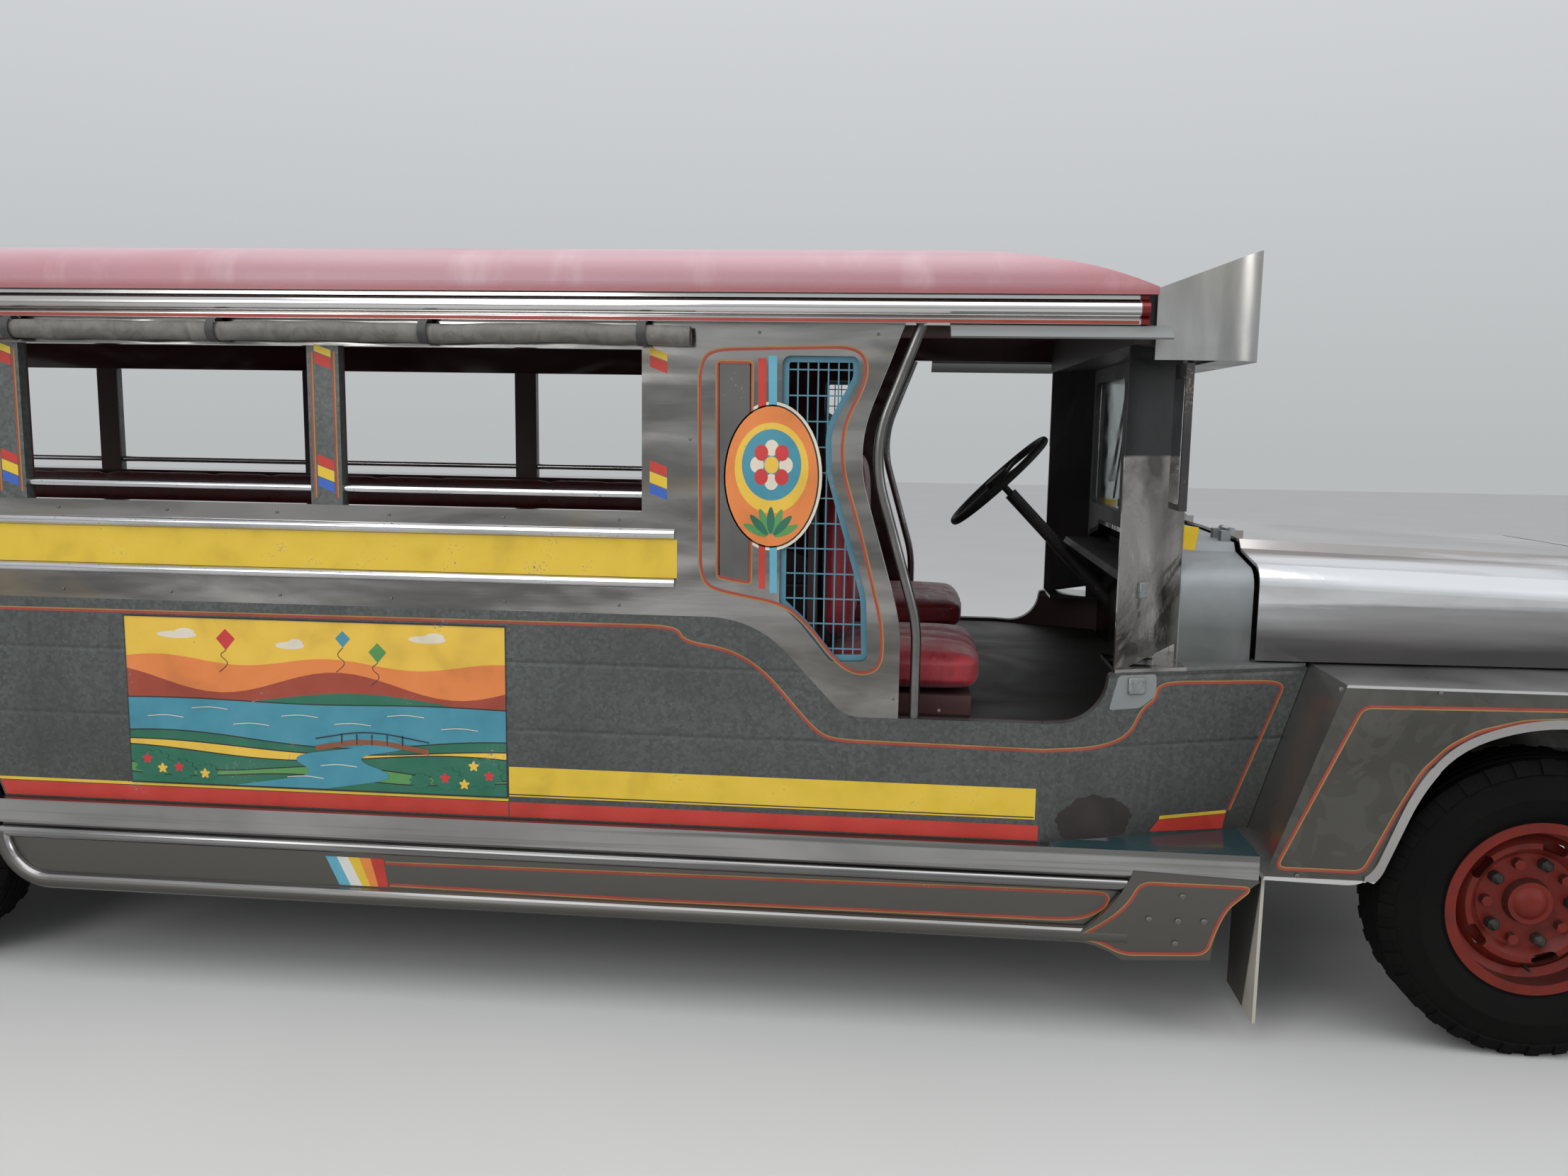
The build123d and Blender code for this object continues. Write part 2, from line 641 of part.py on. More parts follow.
# Skirts: a folded ledge, two half-round tubes pressed in the sheet, and a bracket plate
upper_tube_z = panel_bottom - 93.5
upper_tube_r = 17.5
lower_tube_z = panel_bottom - 228
lower_tube_r = 23.0
skirt_low = lower_tube_z - lower_tube_r
band_low = panel_bottom - 65
skirt_face = half_width - 16
skirt_sheet = 12.0
skirt_front = 690.0
ledge = 10.0
ledge_front = taper_start - 180
skirt_start = ledge_front - 43
skirt_end = wheelbase - arch_radius + 20
tube_bend = upper_tube_z - lower_tube_z
bend_start = skirt_end - tube_bend
bend_middle = upper_tube_z - tube_bend * sqrt(0.5)
plate_top = panel_bottom - 60
plate_low = skirt_low - 34
with BuildPart() as skirts:
    for start, end in ((skirt_start, skirt_end), (wheelbase + arch_radius - 20, body_rear)):
        with BuildSketch(cross_plane(start)):
            with BuildLine():
                Polyline(
                    (skirt_face, upper_tube_z + upper_tube_r), (skirt_face, band_low - 5), (half_width, band_low),
                    (half_width, panel_bottom), (inner_face, panel_bottom), (inner_face, panel_bottom - ledge),
                    (skirt_face - skirt_sheet, panel_bottom - ledge), (skirt_face - skirt_sheet, skirt_low),
                    (skirt_face, skirt_low),
                )
                ThreePointArc(
                    (skirt_face, skirt_low), (skirt_face + lower_tube_r, lower_tube_z),
                    (skirt_face, lower_tube_z + lower_tube_r),
                )
                Line((skirt_face, lower_tube_z + lower_tube_r), (skirt_face, upper_tube_z - upper_tube_r))
                ThreePointArc(
                    (skirt_face, upper_tube_z - upper_tube_r), (skirt_face + upper_tube_r, upper_tube_z),
                    (skirt_face, upper_tube_z + upper_tube_r),
                )
            make_face()
        extrude(amount=end - start)
    with BuildSketch(side_plane(-half_width - 20)):
        with BuildLine():
            Polyline((skirt_end + 1, upper_tube_z), (skirt_end + 1, skirt_low - 1), (bend_start, skirt_low - 1),
                     (bend_start, lower_tube_z))
            ThreePointArc((bend_start, lower_tube_z), (bend_start + tube_bend * sqrt(0.5), bend_middle),
                          (skirt_end, upper_tube_z))
            Line((skirt_end, upper_tube_z), (skirt_end + 1, upper_tube_z))
        make_face()
    extrude(amount=60, mode=Mode.SUBTRACT)
    with BuildSketch(cross_plane(bend_start)):
        with BuildLine():
            Line((skirt_face, lower_tube_z - lower_tube_r), (skirt_face, lower_tube_z + lower_tube_r))
            ThreePointArc((skirt_face, lower_tube_z + lower_tube_r), (skirt_face + lower_tube_r, lower_tube_z),
                          (skirt_face, lower_tube_z - lower_tube_r))
        make_face()
    revolve(axis=Axis((behind(bend_start), 0, upper_tube_z), (0, 1, 0)), revolution_arc=90)
    with BuildSketch(plan_plane(panel_bottom - ledge)):
        Polygon(
            (skirt_front, half_width), (skirt_front, taper_y(skirt_front) - wall),
            (ledge_front, taper_y(ledge_front) - wall), (ledge_front, half_width),
            align=None,
        )
    extrude(amount=ledge)
    block(skirt_front, ledge_front, skirt_face, half_width, band_low, panel_bottom)
    with BuildSketch(side_plane(-half_width - 4)):
        with BuildLine():
            Polyline((992, plate_top + 8), (685, plate_top - 3))
            ThreePointArc((685, plate_top - 3), (757, plate_top - 80), (795, plate_low + 12))
            Line((795, plate_low + 12), (1011, plate_low))
            ThreePointArc((1011, plate_low), (1075, plate_low + 33), (1157, plate_low + 42))
            ThreePointArc((1157, plate_low + 42), (1070, plate_top - 114), (992, plate_top + 8))
        make_face()
    extrude(amount=16)
    mirror(about=Plane.XZ)
save(skirts, "skirts")

# Side rails: half-round bars above and below the route board, and one bar across each window
belt_radius = 13.0
belt_heights = [panel_top + 82, window_sill - 55]
board_front = first_window - 84
bar_height = window_sill + 42
with BuildPart() as side_rails:
    for z in belt_heights:
        with BuildSketch(cross_plane(board_front)):
            with BuildLine():
                Line((wall_face, z - belt_radius), (wall_face, z + belt_radius))
                ThreePointArc((wall_face, z + belt_radius), (wall_face + belt_radius, z),
                              (wall_face, z - belt_radius))
            make_face()
        extrude(amount=body_rear - board_front)
    for number in range(window_count):
        start = first_window + number * window_pitch
        rod((start, wall_face - wall / 2, bar_height), (start + window_width, wall_face - wall / 2, bar_height), 11)
    mirror(about=Plane.XZ)
save(side_rails, "side_rails")

# Doorway grab tubes, from header to sill
with BuildPart() as grab_tubes:
    with BuildLine(side_plane(-wall_face + wall / 2)) as tube_path:
        FilletPolyline(*tube_points, radius=tube_radii)
    with BuildSketch(Plane(origin=tube_path.line @ 1, z_dir=-(tube_path.line % 1))):
        Circle(tube_radius)
    sweep(path=tube_path.line)
    block(1400, 1700, inner_face - 30, half_width, gutter_low - gap, gutter_low + 25, mode=Mode.SUBTRACT)
    mirror(about=Plane.XZ)
save(grab_tubes, "grab_tubes")

# Roof fascia: gutter lip, bright bead and the dark recess under the roof
fascia_front = door_front - 20
bead_z = gutter_low + 36
bead_radius = 18.0
with BuildPart() as roof_fascia:
    with BuildSketch(cross_plane(fascia_front)):
        with BuildLine():
            Polyline(
                (wall_face, roof_base), (wall_face, gutter_low), (wall_face + 34, gutter_low),
                (wall_face + 34, gutter_low + 12), (wall_face + 26, bead_z - bead_radius),
            )
            ThreePointArc((wall_face + 26, bead_z - bead_radius), (wall_face + 26 + bead_radius, bead_z),
                          (wall_face + 26, bead_z + bead_radius))
            Polyline((wall_face + 26, bead_z + bead_radius), (wall_face + 14, bead_z + bead_radius + 6),
                     (wall_face + 14, roof_base), (wall_face, roof_base))
        make_face()
    extrude(amount=body_rear - fascia_front)
    mirror(about=Plane.XZ)
save(roof_fascia, "roof_fascia")

# Roof: a crowned shell that rounds down at both ends
roof_front = 1006.0
roof_rear = body_rear + 20
roof_half = wall_face + 34
roof_sheet = 22.0
roof_side_rise = 89.0
roof_lip = 14.0
roof_lip_sheet = 6.0


def roof_solid(inset, side):
    """Crowned section cut by the lengthwise profile, both this far inside the outer skin."""
    low = roof_base
    side_top = roof_base + roof_side_rise - inset
    with BuildSketch(cross_plane(roof_front)) as section:
        with BuildLine():
            Line((-side, low), (side, low))
            ThreePointArc((side, low), (side - 14, (low + side_top) / 2 + 8), (side - 64, side_top))
            ThreePointArc((side - 64, side_top), (0, roof_crown - inset), (64 - side, side_top))
            ThreePointArc((64 - side, side_top), (14 - side, (low + side_top) / 2 + 8), (-side, low))
        make_face()
    extrude(section.sketch, amount=roof_rear - roof_front)
    front = roof_front + inset
    rear = roof_rear - inset
    with BuildSketch(side_plane(-roof_half)) as profile:
        with BuildLine():
            Polyline((rear, low), (front, low), (front, low + 3))
            ThreePointArc((front, low + 3), (front + 110, low + 42 - inset), (front + 304, low + 81 - inset))
            ThreePointArc((front + 304, low + 81 - inset), (front + 554, roof_crown - 32 - inset),
                          (front + 894, roof_crown - inset))
            Line((front + 894, roof_crown - inset), (rear - 260, roof_crown - inset))
            ThreePointArc((rear - 260, roof_crown - inset), (rear - 80, roof_crown - 50 - inset), (rear, low))
        make_face()
    extrude(profile.sketch, amount=2 * roof_half, mode=Mode.INTERSECT)


with BuildPart() as roof_void:
    roof_solid(roof_sheet, inner_face)
with BuildPart() as roof:
    roof_solid(0, roof_half)
    add(roof_void.part, mode=Mode.SUBTRACT)
    block(windshield_front, roof_front + 40, 2 - inner_face, inner_face - 2, header_bottom, roof_base)
    for side in (-1, 1):
        block(roof_front, roof_rear, side * (roof_half - roof_lip_sheet), side * roof_half,
              roof_base - roof_lip, roof_base + 2)
save(roof, "roof")

# Rolled curtains under the fascia, one along each side
roll_radius = 30.0
with BuildPart() as curtain_rolls:
    roll_y = wall_face + gap + roll_radius
    roll_z = gutter_low - gap - roll_radius
    rod((first_window - 129, roll_y, roll_z), (body_rear - 60, roll_y, roll_z), roll_radius)
    mirror(about=Plane.XZ)
save(curtain_rolls, "curtain_rolls")

# Doorway visors: thin curved sheets that hang off the header
visor_reach = 90.0
visor_drop = 33.0
visor_sheet = 6.0
with BuildPart() as door_visors:
    with BuildSketch(cross_plane(door_front - 67)):
        with BuildLine():
            visor_top = gutter_low - gap
            visor_tip = (wall_face + visor_reach, visor_top - visor_drop)
            visor_lip = (wall_face + visor_reach - 4, visor_top - visor_drop - 4)
            ThreePointArc((wall_face, visor_top), (wall_face + 50, visor_top - 8), visor_tip)
            Line(visor_tip, visor_lip)
            ThreePointArc(visor_lip, (wall_face + 48, visor_top - 8 - visor_sheet), (wall_face, visor_top - visor_sheet))
            Line((wall_face, visor_top - visor_sheet), (wall_face, visor_top))
        make_face()
    extrude(amount=510)
    mirror(about=Plane.XZ)
save(door_visors, "door_visors")

# Rear panel with the open entrance and two small windows
entrance_half = 320.0
entrance_top = roof_base - 69
rear_window_width = 340.0
rear_window_y = (entrance_half + inner_face) / 2
rear_window_z = (window_sill + window_top) / 2
with BuildPart() as rear_panel:
    with BuildSketch(cross_plane(body_rear - wall)):
        Polygon(
            (-inner_face + gap, rail_top), (inner_face - gap, rail_top), (inner_face - gap, roof_base),
            (gap - inner_face, roof_base),
            align=None,
        )
        with Locations((0, (floor_top + entrance_top) / 2)):
            Rectangle(2 * entrance_half, entrance_top - floor_top, mode=Mode.SUBTRACT)
        with Locations((rear_window_y, rear_window_z), (-rear_window_y, rear_window_z)):
            RectangleRounded(rear_window_width, window_top - window_sill, 30, mode=Mode.SUBTRACT)
    extrude(amount=wall)
save(rear_panel, "rear_panel")

# Tail lamps
with BuildPart() as tail_lamps:
    for z in (1060.0, 1170.0):
        rod((body_rear, inner_face - 135, z), (body_rear + 24, inner_face - 135, z), 48)
    mirror(about=Plane.XZ)
save(tail_lamps, "tail_lamps")

# Rear step below the entrance, on two brackets from the frame
step_top = 520.0
step_sheet = 30.0
hitch_station = body_rear + 90
hitch_length = 60.0
hitch_width = 100.0
hitch_hole = 8.0
with BuildPart() as rear_step:
    block(body_rear + 10, wheelbase + rear_overhang, -500, 500, step_top - step_sheet, step_top)
    for along in (-0.5, 0.5):
        for across in (-0.5, 0.5):
            spot = (hitch_station + along * hitch_length, across * hitch_width)
            rod((*spot, step_top - step_sheet - 1), (*spot, step_top + 1), hitch_hole, mode=Mode.SUBTRACT)
    for side in (-1, 1):
        block(rail_rear, body_rear + 20, side * (rail_centre_y - 30), side * (rail_centre_y + 30), step_top - step_sheet,
              rail_bottom + 60)
save(rear_step, "rear_step")

# Front fenders: flat top, slanted ends, arched outer plate, inner apron
fender_nose_top = -470.0
fender_nose_low = -600.0
fender_low_front = 560.0
lip_height = 6.0
lip_width = 22.0
arch_half = 300.0
arch_low = 746.0
arch_crown = 853.0
skirt_corner = (413.0, fender_low - 5)
fender_inner = 602.0
with BuildPart() as fenders:
    with BuildSketch(side_plane(-half_width)):
        with BuildLine():
            Polyline(
                (arch_half, arch_low), skirt_corner, (fender_rear_low, fender_low), (fender_rear_top, fender_top),
                (fender_nose_top, fender_top), (fender_nose_low, fender_low_front), (-400, fender_low_front),
                (-arch_half, arch_low),
            )
            ThreePointArc((-arch_half, arch_low), (0, arch_crown), (arch_half, arch_low))
        make_face()
    extrude(amount=fender_sheet)
    with BuildSketch(side_plane(-half_width - lip_height)):
        with BuildLine():
            outer_half = arch_half + lip_width - 1
            Polyline((arch_half, arch_low), skirt_corner, (skirt_corner[0] + lip_width, fender_low - 4),
                     (outer_half, arch_low + 8))
            ThreePointArc((outer_half, arch_low + 8), (0, arch_crown + lip_width), (-outer_half, arch_low + 8))
            Polyline((-outer_half, arch_low + 8), (-400 - lip_width, fender_low_front), (-400, fender_low_front),
                     (-arch_half, arch_low))
            ThreePointArc((-arch_half, arch_low), (0, arch_crown), (arch_half, arch_low))
        make_face()
    extrude(amount=lip_height + 2)
    block(fender_nose_top, fender_rear_top, fender_inner, half_width, fender_top - fender_sheet, fender_top)
    block(hood_front + 12, fender_rear_top, apron_y - fender_sheet, fender_inner + 2, fender_top - fender_sheet,
          fender_top)
    for top_x, low_x, low_z, sheet in (
        (fender_rear_top, fender_rear_low, fender_low, -12),
        (fender_nose_top, fender_nose_low, fender_low_front, 12),
    ):
        with BuildSketch(side_plane(-half_width)):
            Polygon(
                (top_x, fender_top), (low_x, low_z), (low_x + sheet, low_z), (top_x + sheet, fender_top),
                align=None,
            )
        extrude(amount=half_width - fender_inner - 4)
    block(hood_front + 12, fender_rear_top, apron_y - fender_sheet, apron_y, rail_top, fender_top)
    block(hood_front + 60, fender_rear_top - 14, rail_centre_y + 5, apron_y, rail_top, rail_top + fender_sheet)
    mirror(about=Plane.XZ)
save(fenders, "fenders")


# Hood: one section at each end, lofted, with the same section scaled in for its sheet
def hood_section(half, low, top, mode=Mode.ADD):
    """Flat side, round shoulder, sloping deck and raised centre, both halves."""
    with BuildLine(mode=Mode.PRIVATE) as outline:
        Polyline((0, low), (half, low), (half, top - 105))
        ThreePointArc((half, top - 105), (half - 16, top - 68), (half - 54, top - 52))
        Line((half - 54, top - 52), (half - 200, top - 28))
        Line((half - 200, top - 28), (half - 222, top - 4))
        Line((half - 222, top - 4), (0, top))
        Line((0, top), (0, low))
    right_half = make_face(outline.line.edges(), mode=mode)
    mirror(right_half, about=Plane.YZ, mode=mode)


# Hood hinges: a barrel on the hood between two on the cowl, round one pin
hinge_station = hood_rear + moving_gap / 2
hinge_z = hood_top_rear + 12
hinge_y = 300.0
hinge_barrel = 9.0
hinge_pin = 4.0
barrel_half = 29.0
with BuildPart() as hood:
    with BuildSketch(cross_plane(hood_rear)):
        hood_section(hood_half_rear, hood_bottom, hood_top_rear)
    with BuildSketch(cross_plane(hood_front)):
        hood_section(hood_half_front, hood_bottom, hood_top_front)
    loft()
    with BuildSketch(cross_plane(hood_rear + 1)):
        hood_section(hood_half_rear - hood_sheet, hood_bottom - 2, hood_top_rear - hood_sheet)
    with BuildSketch(cross_plane(hood_front - 1)):
        hood_section(hood_half_front - hood_sheet, hood_bottom - 2, hood_top_front - hood_sheet)
    loft(mode=Mode.SUBTRACT)
    with BuildSketch(side_plane(-hood_half_rear - 1)):
        Polygon((hood_front - 1, hood_bottom - 1), (hood_front + 50, hood_bottom - 1),
                (hood_front - 1, hood_top_front - 25), align=None)
    extrude(amount=2 * hood_half_rear + 2, mode=Mode.SUBTRACT)
    for side in (-1, 1):
        near, far = side * (hinge_y - barrel_half), side * (hinge_y + barrel_half)
        block(hood_rear - 34, hinge_station, near, far, hood_top_rear - hood_sheet, hinge_z)
        rod((hinge_station, near, hinge_z), (hinge_station, far, hinge_z), hinge_barrel)
        rod((hinge_station, near, hinge_z), (hinge_station, far, hinge_z), hinge_pin + running_fit,
            mode=Mode.SUBTRACT)
save(hood, "hood")

# Cowl with firewall, side shelves, quarter panels and door posts
post_y = half_width - 110.0
post_sheet = 18.0
with BuildPart() as cowl:
    cowl_half = hood_half_rear - cowl_inset
    with BuildSketch(cross_plane(hood_rear + moving_gap)):
        hood_section(cowl_half, shelf_bottom + shelf_thickness, cowl_top)
    extrude(amount=windshield_front + windshield_depth - hood_rear - moving_gap)
    with BuildSketch(cross_plane(hood_rear)):
        hood_section(cowl_half - 14, shelf_bottom - 2, cowl_top - 14)
    extrude(amount=windshield_front + windshield_depth - hood_rear + 2, mode=Mode.SUBTRACT)
    block(firewall, firewall + firewall_sheet, 5 - cowl_half, cowl_half - 5, floor_top, cowl_top - 60)
    for side in (-1, 1):
        with BuildSketch(plan_plane(shelf_bottom)):
            Polygon(
                (door_front, side * (taper_y(door_front) - 6)), (523, side * (taper_y(523) - 6)),
                (523, side * (cowl_half - 40)), (door_front, side * (cowl_half - 40)),
                align=None,
            )
        extrude(amount=shelf_thickness)
    for side in (-1, 1):
        with BuildSketch(plan_plane(shelf_bottom + shelf_thickness)):
            Polygon(
                (door_front, side * post_y), (firewall, side * cowl_half), (firewall, side * (cowl_half - post_sheet)),
                (door_front, side * (post_y - post_sheet)),
                align=None,
            )
        extrude(amount=header_bottom - shelf_bottom - shelf_thickness)
    with BuildSketch(side_plane(-post_y - 1)):
        Polygon(
            (door_front - 40, fender_top), (firewall + 8, fender_top), (firewall + 8, fender_top + 42),
            align=None,
        )
    extrude(amount=post_y - cowl_half, mode=Mode.SUBTRACT)
    with BuildSketch(side_plane(cowl_half + 1)):
        Polygon(
            (door_front - 40, fender_top), (firewall + 8, fender_top), (firewall + 8, fender_top + 42),
            align=None,
        )
    extrude(amount=post_y - cowl_half, mode=Mode.SUBTRACT)
    for side in (-1, 1):
        for start, end in ((hinge_y - 60, hinge_y - barrel_half - 1), (hinge_y + barrel_half + 1, hinge_y + 60)):
            block(hinge_station + 4, hinge_station + 30, side * start, side * end, cowl_top - 6, hinge_z)
            rod((hinge_station, side * start, hinge_z), (hinge_station, side * end, hinge_z), hinge_barrel)
        rod((hinge_station, side * (hinge_y - 60), hinge_z), (hinge_station, side * (hinge_y + 60), hinge_z),
            hinge_pin)
save(cowl, "cowl")

# Dashboard against the firewall
with BuildPart() as dashboard:
    with BuildSketch(side_plane(-cowl_half + 60)):
        Polygon(
            (firewall + firewall_sheet, cowl_top - 80), (1000, cowl_top - 80), (1010, 1140),
            (950, 1105), (firewall + firewall_sheet, 1105),
            align=None,
        )
    extrude(amount=2 * cowl_half - 120)
save(dashboard, "dashboard")

# Windshield frame with a centre bar, and its two panes
with BuildPart() as windshield_frame:
    windshield_half = cowl_half - gap
    pane_half = windshield_half - 50
    low = cowl_top
    with BuildSketch(cross_plane(windshield_front)):
        with Locations((0, (low - 120 + header_bottom) / 2)):
            Rectangle(2 * windshield_half, header_bottom - low + 120)
        hood_section(cowl_half, shelf_bottom + shelf_thickness, cowl_top, mode=Mode.SUBTRACT)
        with Locations((pane_half / 2 + 10, (low + header_bottom) / 2), (-pane_half / 2 - 10, (low + header_bottom) / 2)):
            RectangleRounded(pane_half - 20, header_bottom - low - 90, 25, mode=Mode.SUBTRACT)
    extrude(amount=windshield_depth)
save(windshield_frame, "windshield_frame")
with BuildPart() as windshield_glass:
    with BuildSketch(cross_plane(windshield_front + 14)):
        with Locations((pane_half / 2 + 10, (low + header_bottom) / 2), (-pane_half / 2 - 10, (low + header_bottom) / 2)):
            RectangleRounded(pane_half - 20 - 2 * gap, header_bottom - low - 90 - 2 * gap, 25 - gap)
    extrude(amount=6)
save(windshield_glass, "windshield_glass")

# Signboard above the windshield: a bent sheet with wings, floor and two rods to the header
sign_front = 742.0
sign_half = wall_face - 15
sign_sheet = 8.0
sign_low = roof_base - 162
sign_high = roof_base + 104
wing_high = roof_base + 3
with BuildPart() as signboard:
    with BuildSketch(plan_plane(sign_low)):
        with BuildLine():
            Polyline((roof_front - 6, sign_half), (sign_front + 90, sign_half))
            ThreePointArc((sign_front + 90, sign_half), (sign_front + 26, sign_half - 26), (sign_front, sign_half - 90))
            Line((sign_front, sign_half - 90), (sign_front, 0))
            Polyline((sign_front, 0), (roof_front - 6, 0), (roof_front - 6, sign_half))
        make_face()
        mirror(about=Plane.XZ)
    extrude(amount=sign_high - sign_low)
    with BuildSketch(plan_plane(sign_low + sign_sheet)):
        with BuildLine():
            Polyline((roof_front - 5, sign_half - sign_sheet), (sign_front + 90, sign_half - sign_sheet))
            ThreePointArc(
                (sign_front + 90, sign_half - sign_sheet), (sign_front + 32, sign_half - 32),
                (sign_front + sign_sheet, sign_half - 90),
            )
            Line((sign_front + sign_sheet, sign_half - 90), (sign_front + sign_sheet, 0))
            Polyline((sign_front + sign_sheet, 0), (roof_front - 5, 0), (roof_front - 5, sign_half - sign_sheet))
        make_face()
        mirror(about=Plane.XZ)
    extrude(amount=sign_high - sign_low, mode=Mode.SUBTRACT)
    with BuildSketch(side_plane(-sign_half - 1)):
        Polygon((sign_front - 1, sign_high), (roof_front, wing_high), (roof_front, sign_high + 35),
                (sign_front - 1, sign_high + 35), align=None)
    extrude(amount=2 * sign_half + 2, mode=Mode.SUBTRACT)
    block(firewall - 6, roof_front, -inner_face - 6, inner_face + 6, sign_low - 10, header_bottom + 60,
          mode=Mode.SUBTRACT)
    for side in (-1, 1):
        rod((windshield_front, side * 500, roof_base - 69), (sign_front + 4, side * 500, roof_base - 69), 9)
save(signboard, "signboard")

# Mirrors, hung below the signboard's wings
mirror_station = 929.0
with BuildPart() as mirrors:
    block(mirror_station - 9, mirror_station + 9, sign_half - 55, sign_half + 65, sign_low - 357, sign_low - 10)
    rod((mirror_station, sign_half - sign_sheet / 2, sign_low - 15),
        (mirror_station, sign_half - sign_sheet / 2, sign_low), 6)
    mirror(about=Plane.XZ)
save(mirrors, "mirrors")

# Mudflaps behind each wheel
flap_sheet = 8.0
flap_top = 445.0
with BuildPart() as mudflaps:
    block(669, 669 + flap_sheet, wheel_house_inner, half_width - 20, 60, flap_top)
    block(bearers[5] - flap_sheet / 2, bearers[5] + flap_sheet / 2, wheel_house_inner, inner_face - 6, 110, rail_top)
    mirror(about=Plane.XZ)
save(mudflaps, "mudflaps")

# Grille shell with its upright bars and two lamp holes
grille_low = rail_top
grille_depth = 40.0
grille_half = 320.0
grille_bar_count = 11
lamp_y = 455.0
lamp_z = 960.0
lamp_radius = 92.0
with BuildPart() as grille_shell:
    with BuildSketch(cross_plane(hood_front - moving_gap - grille_depth)):
        hood_section(hood_half_front, grille_low, hood_top_front)
        with Locations((0, 940)):
            Rectangle(2 * grille_half, 380, mode=Mode.SUBTRACT)
        with Locations((lamp_y, lamp_z), (-lamp_y, lamp_z)):
            Circle(lamp_radius + gap, mode=Mode.SUBTRACT)
        bar_pitch = 2 * grille_half / (grille_bar_count + 1)
        with Locations((0, 940)):
            with GridLocations(bar_pitch, 1, grille_bar_count, 1):
                Rectangle(20, 384)
    extrude(amount=grille_depth)
save(grille_shell, "grille_shell")
with BuildPart() as headlamps:
    lamp_face = hood_front - moving_gap - grille_depth
    with BuildSketch(Plane(origin=(behind(lamp_face), -lamp_y, lamp_z), x_dir=(1, 0, 0), z_dir=(0, 1, 0))):
        with BuildLine():
            middle, tip = dome(0, 36, lamp_radius)
            Polyline(tip, (-grille_depth - 12, 0), (-grille_depth - 12, 60), (-grille_depth, lamp_radius),
                     (0, lamp_radius))
            ThreePointArc((0, lamp_radius), middle, tip)
        make_face()
    revolve(axis=Axis((0, -lamp_y, lamp_z), (1, 0, 0)))
    mirror(about=Plane.XZ)
save(headlamps, "headlamps")

# Front bumper: a wrapped channel on two brackets
bumper_rear = 80.0 - front_overhang
tow_hole = 20.0
tow_hole_z = 520.0
with BuildPart() as front_bumper:
    with BuildSketch(plan_plane(440)):
        with BuildLine():
            Polyline((bumper_rear, 0), (-front_overhang, 0), (-front_overhang, half_width - 140))
            ThreePointArc((-front_overhang, half_width - 140), (bumper_rear - 56, half_width - 60),
                          (bumper_rear, half_width - 15))
            Line((bumper_rear, half_width - 15), (bumper_rear, 0))
        make_face()
        mirror(about=Plane.XZ)
    extrude(amount=160)
    with BuildSketch(plan_plane(452)):
        with BuildLine():
            Polyline((bumper_rear + 1, 0), (12 - front_overhang, 0), (12 - front_overhang, half_width - 148))
            ThreePointArc((12 - front_overhang, half_width - 148), (bumper_rear - 48, half_width - 72),
                          (bumper_rear + 1, half_width - 32))
            Line((bumper_rear + 1, half_width - 32), (bumper_rear + 1, 0))
        make_face()
        mirror(about=Plane.XZ)
    extrude(amount=136, mode=Mode.SUBTRACT)
    for side in (-1, 1):
        block(10 - front_overhang, rail_front, side * (rail_centre_y - 25), side * (rail_centre_y + 25), 500, 640)
    rod((-front_overhang - 1, 0, tow_hole_z), (14 - front_overhang, 0, tow_hole_z), tow_hole, mode=Mode.SUBTRACT)
save(front_bumper, "front_bumper")

# Front seats: a boxed base and a back frame for each
bench_front = first_window + 18
bench_rear = body_rear - 200
bench_edge = 500.0
bench_top = 1120.0
board = 18.0
with BuildPart() as seat_bases:
    for side in (-1, 1):
        block(1400, 1800, side * 220, side * 760, floor_top, floor_top + 50)
        block(1805, 1830, side * 230, side * 750, floor_top, 1400)
    block(1795, 1830, -760, 760, floor_top, floor_top + 50)
    for side in (-1, 1):
        block(bench_front, bench_rear, side * bench_edge, side * (bench_edge + board), wheel_house_top - 60, bench_top)
        block(bench_front, bench_rear, side * bench_edge, side * (inner_face - gap), bench_top - board, bench_top)
        for station in (bench_front, (bench_front + bench_rear) / 2 - 560, bench_rear - board):
            block(station, station + board, side * bench_edge, side * (inner_face - gap), floor_top, bench_top)
save(seat_bases, "seat_bases")

with BuildPart() as seat_cushions:
    for side in (-1, 1):
        block(1370, 1790, side * 210, side * 775, floor_top + 50 + gap, floor_top + 170)
        block(1700, 1805 - gap, side * 230, side * 750, floor_top + 180, 1440)
        block(bench_front, bench_rear, side * (bench_edge - 30), side * (inner_face - gap), bench_top + gap,
              bench_top + 70)
        block(bench_front, bench_rear, side * (inner_face - 50), side * (inner_face - gap), bench_top + 70 + gap,
              bench_top + 190)
save(seat_cushions, "seat_cushions")

# Ceiling rails with drop rods from the roof
ceiling_y = 330.0
ceiling_z = roof_base - 69
rail_radius = 13.0
drop_radius = 9.0
drop_count = 4
void_rise = roof_crown - roof_side_rise - roof_base
crown_ball = ((inner_face - 64)**2 + void_rise**2) / (2 * void_rise)
drop_top = roof_crown - roof_sheet - crown_ball + sqrt(crown_ball**2 - (ceiling_y + drop_radius)**2)
rail_start = first_window + 58
rail_end = body_rear - 300
with BuildPart() as ceiling_rails:
    rod((rail_start, ceiling_y, ceiling_z), (rail_end, ceiling_y, ceiling_z), rail_radius)
    for number in range(drop_count):
        station = rail_start + 100 + number * (rail_end - rail_start - 250) / (drop_count - 1)
        rod((station, ceiling_y, ceiling_z), (station, ceiling_y, drop_top - gap), drop_radius)
    mirror(about=Plane.XZ)
save(ceiling_rails, "ceiling_rails")

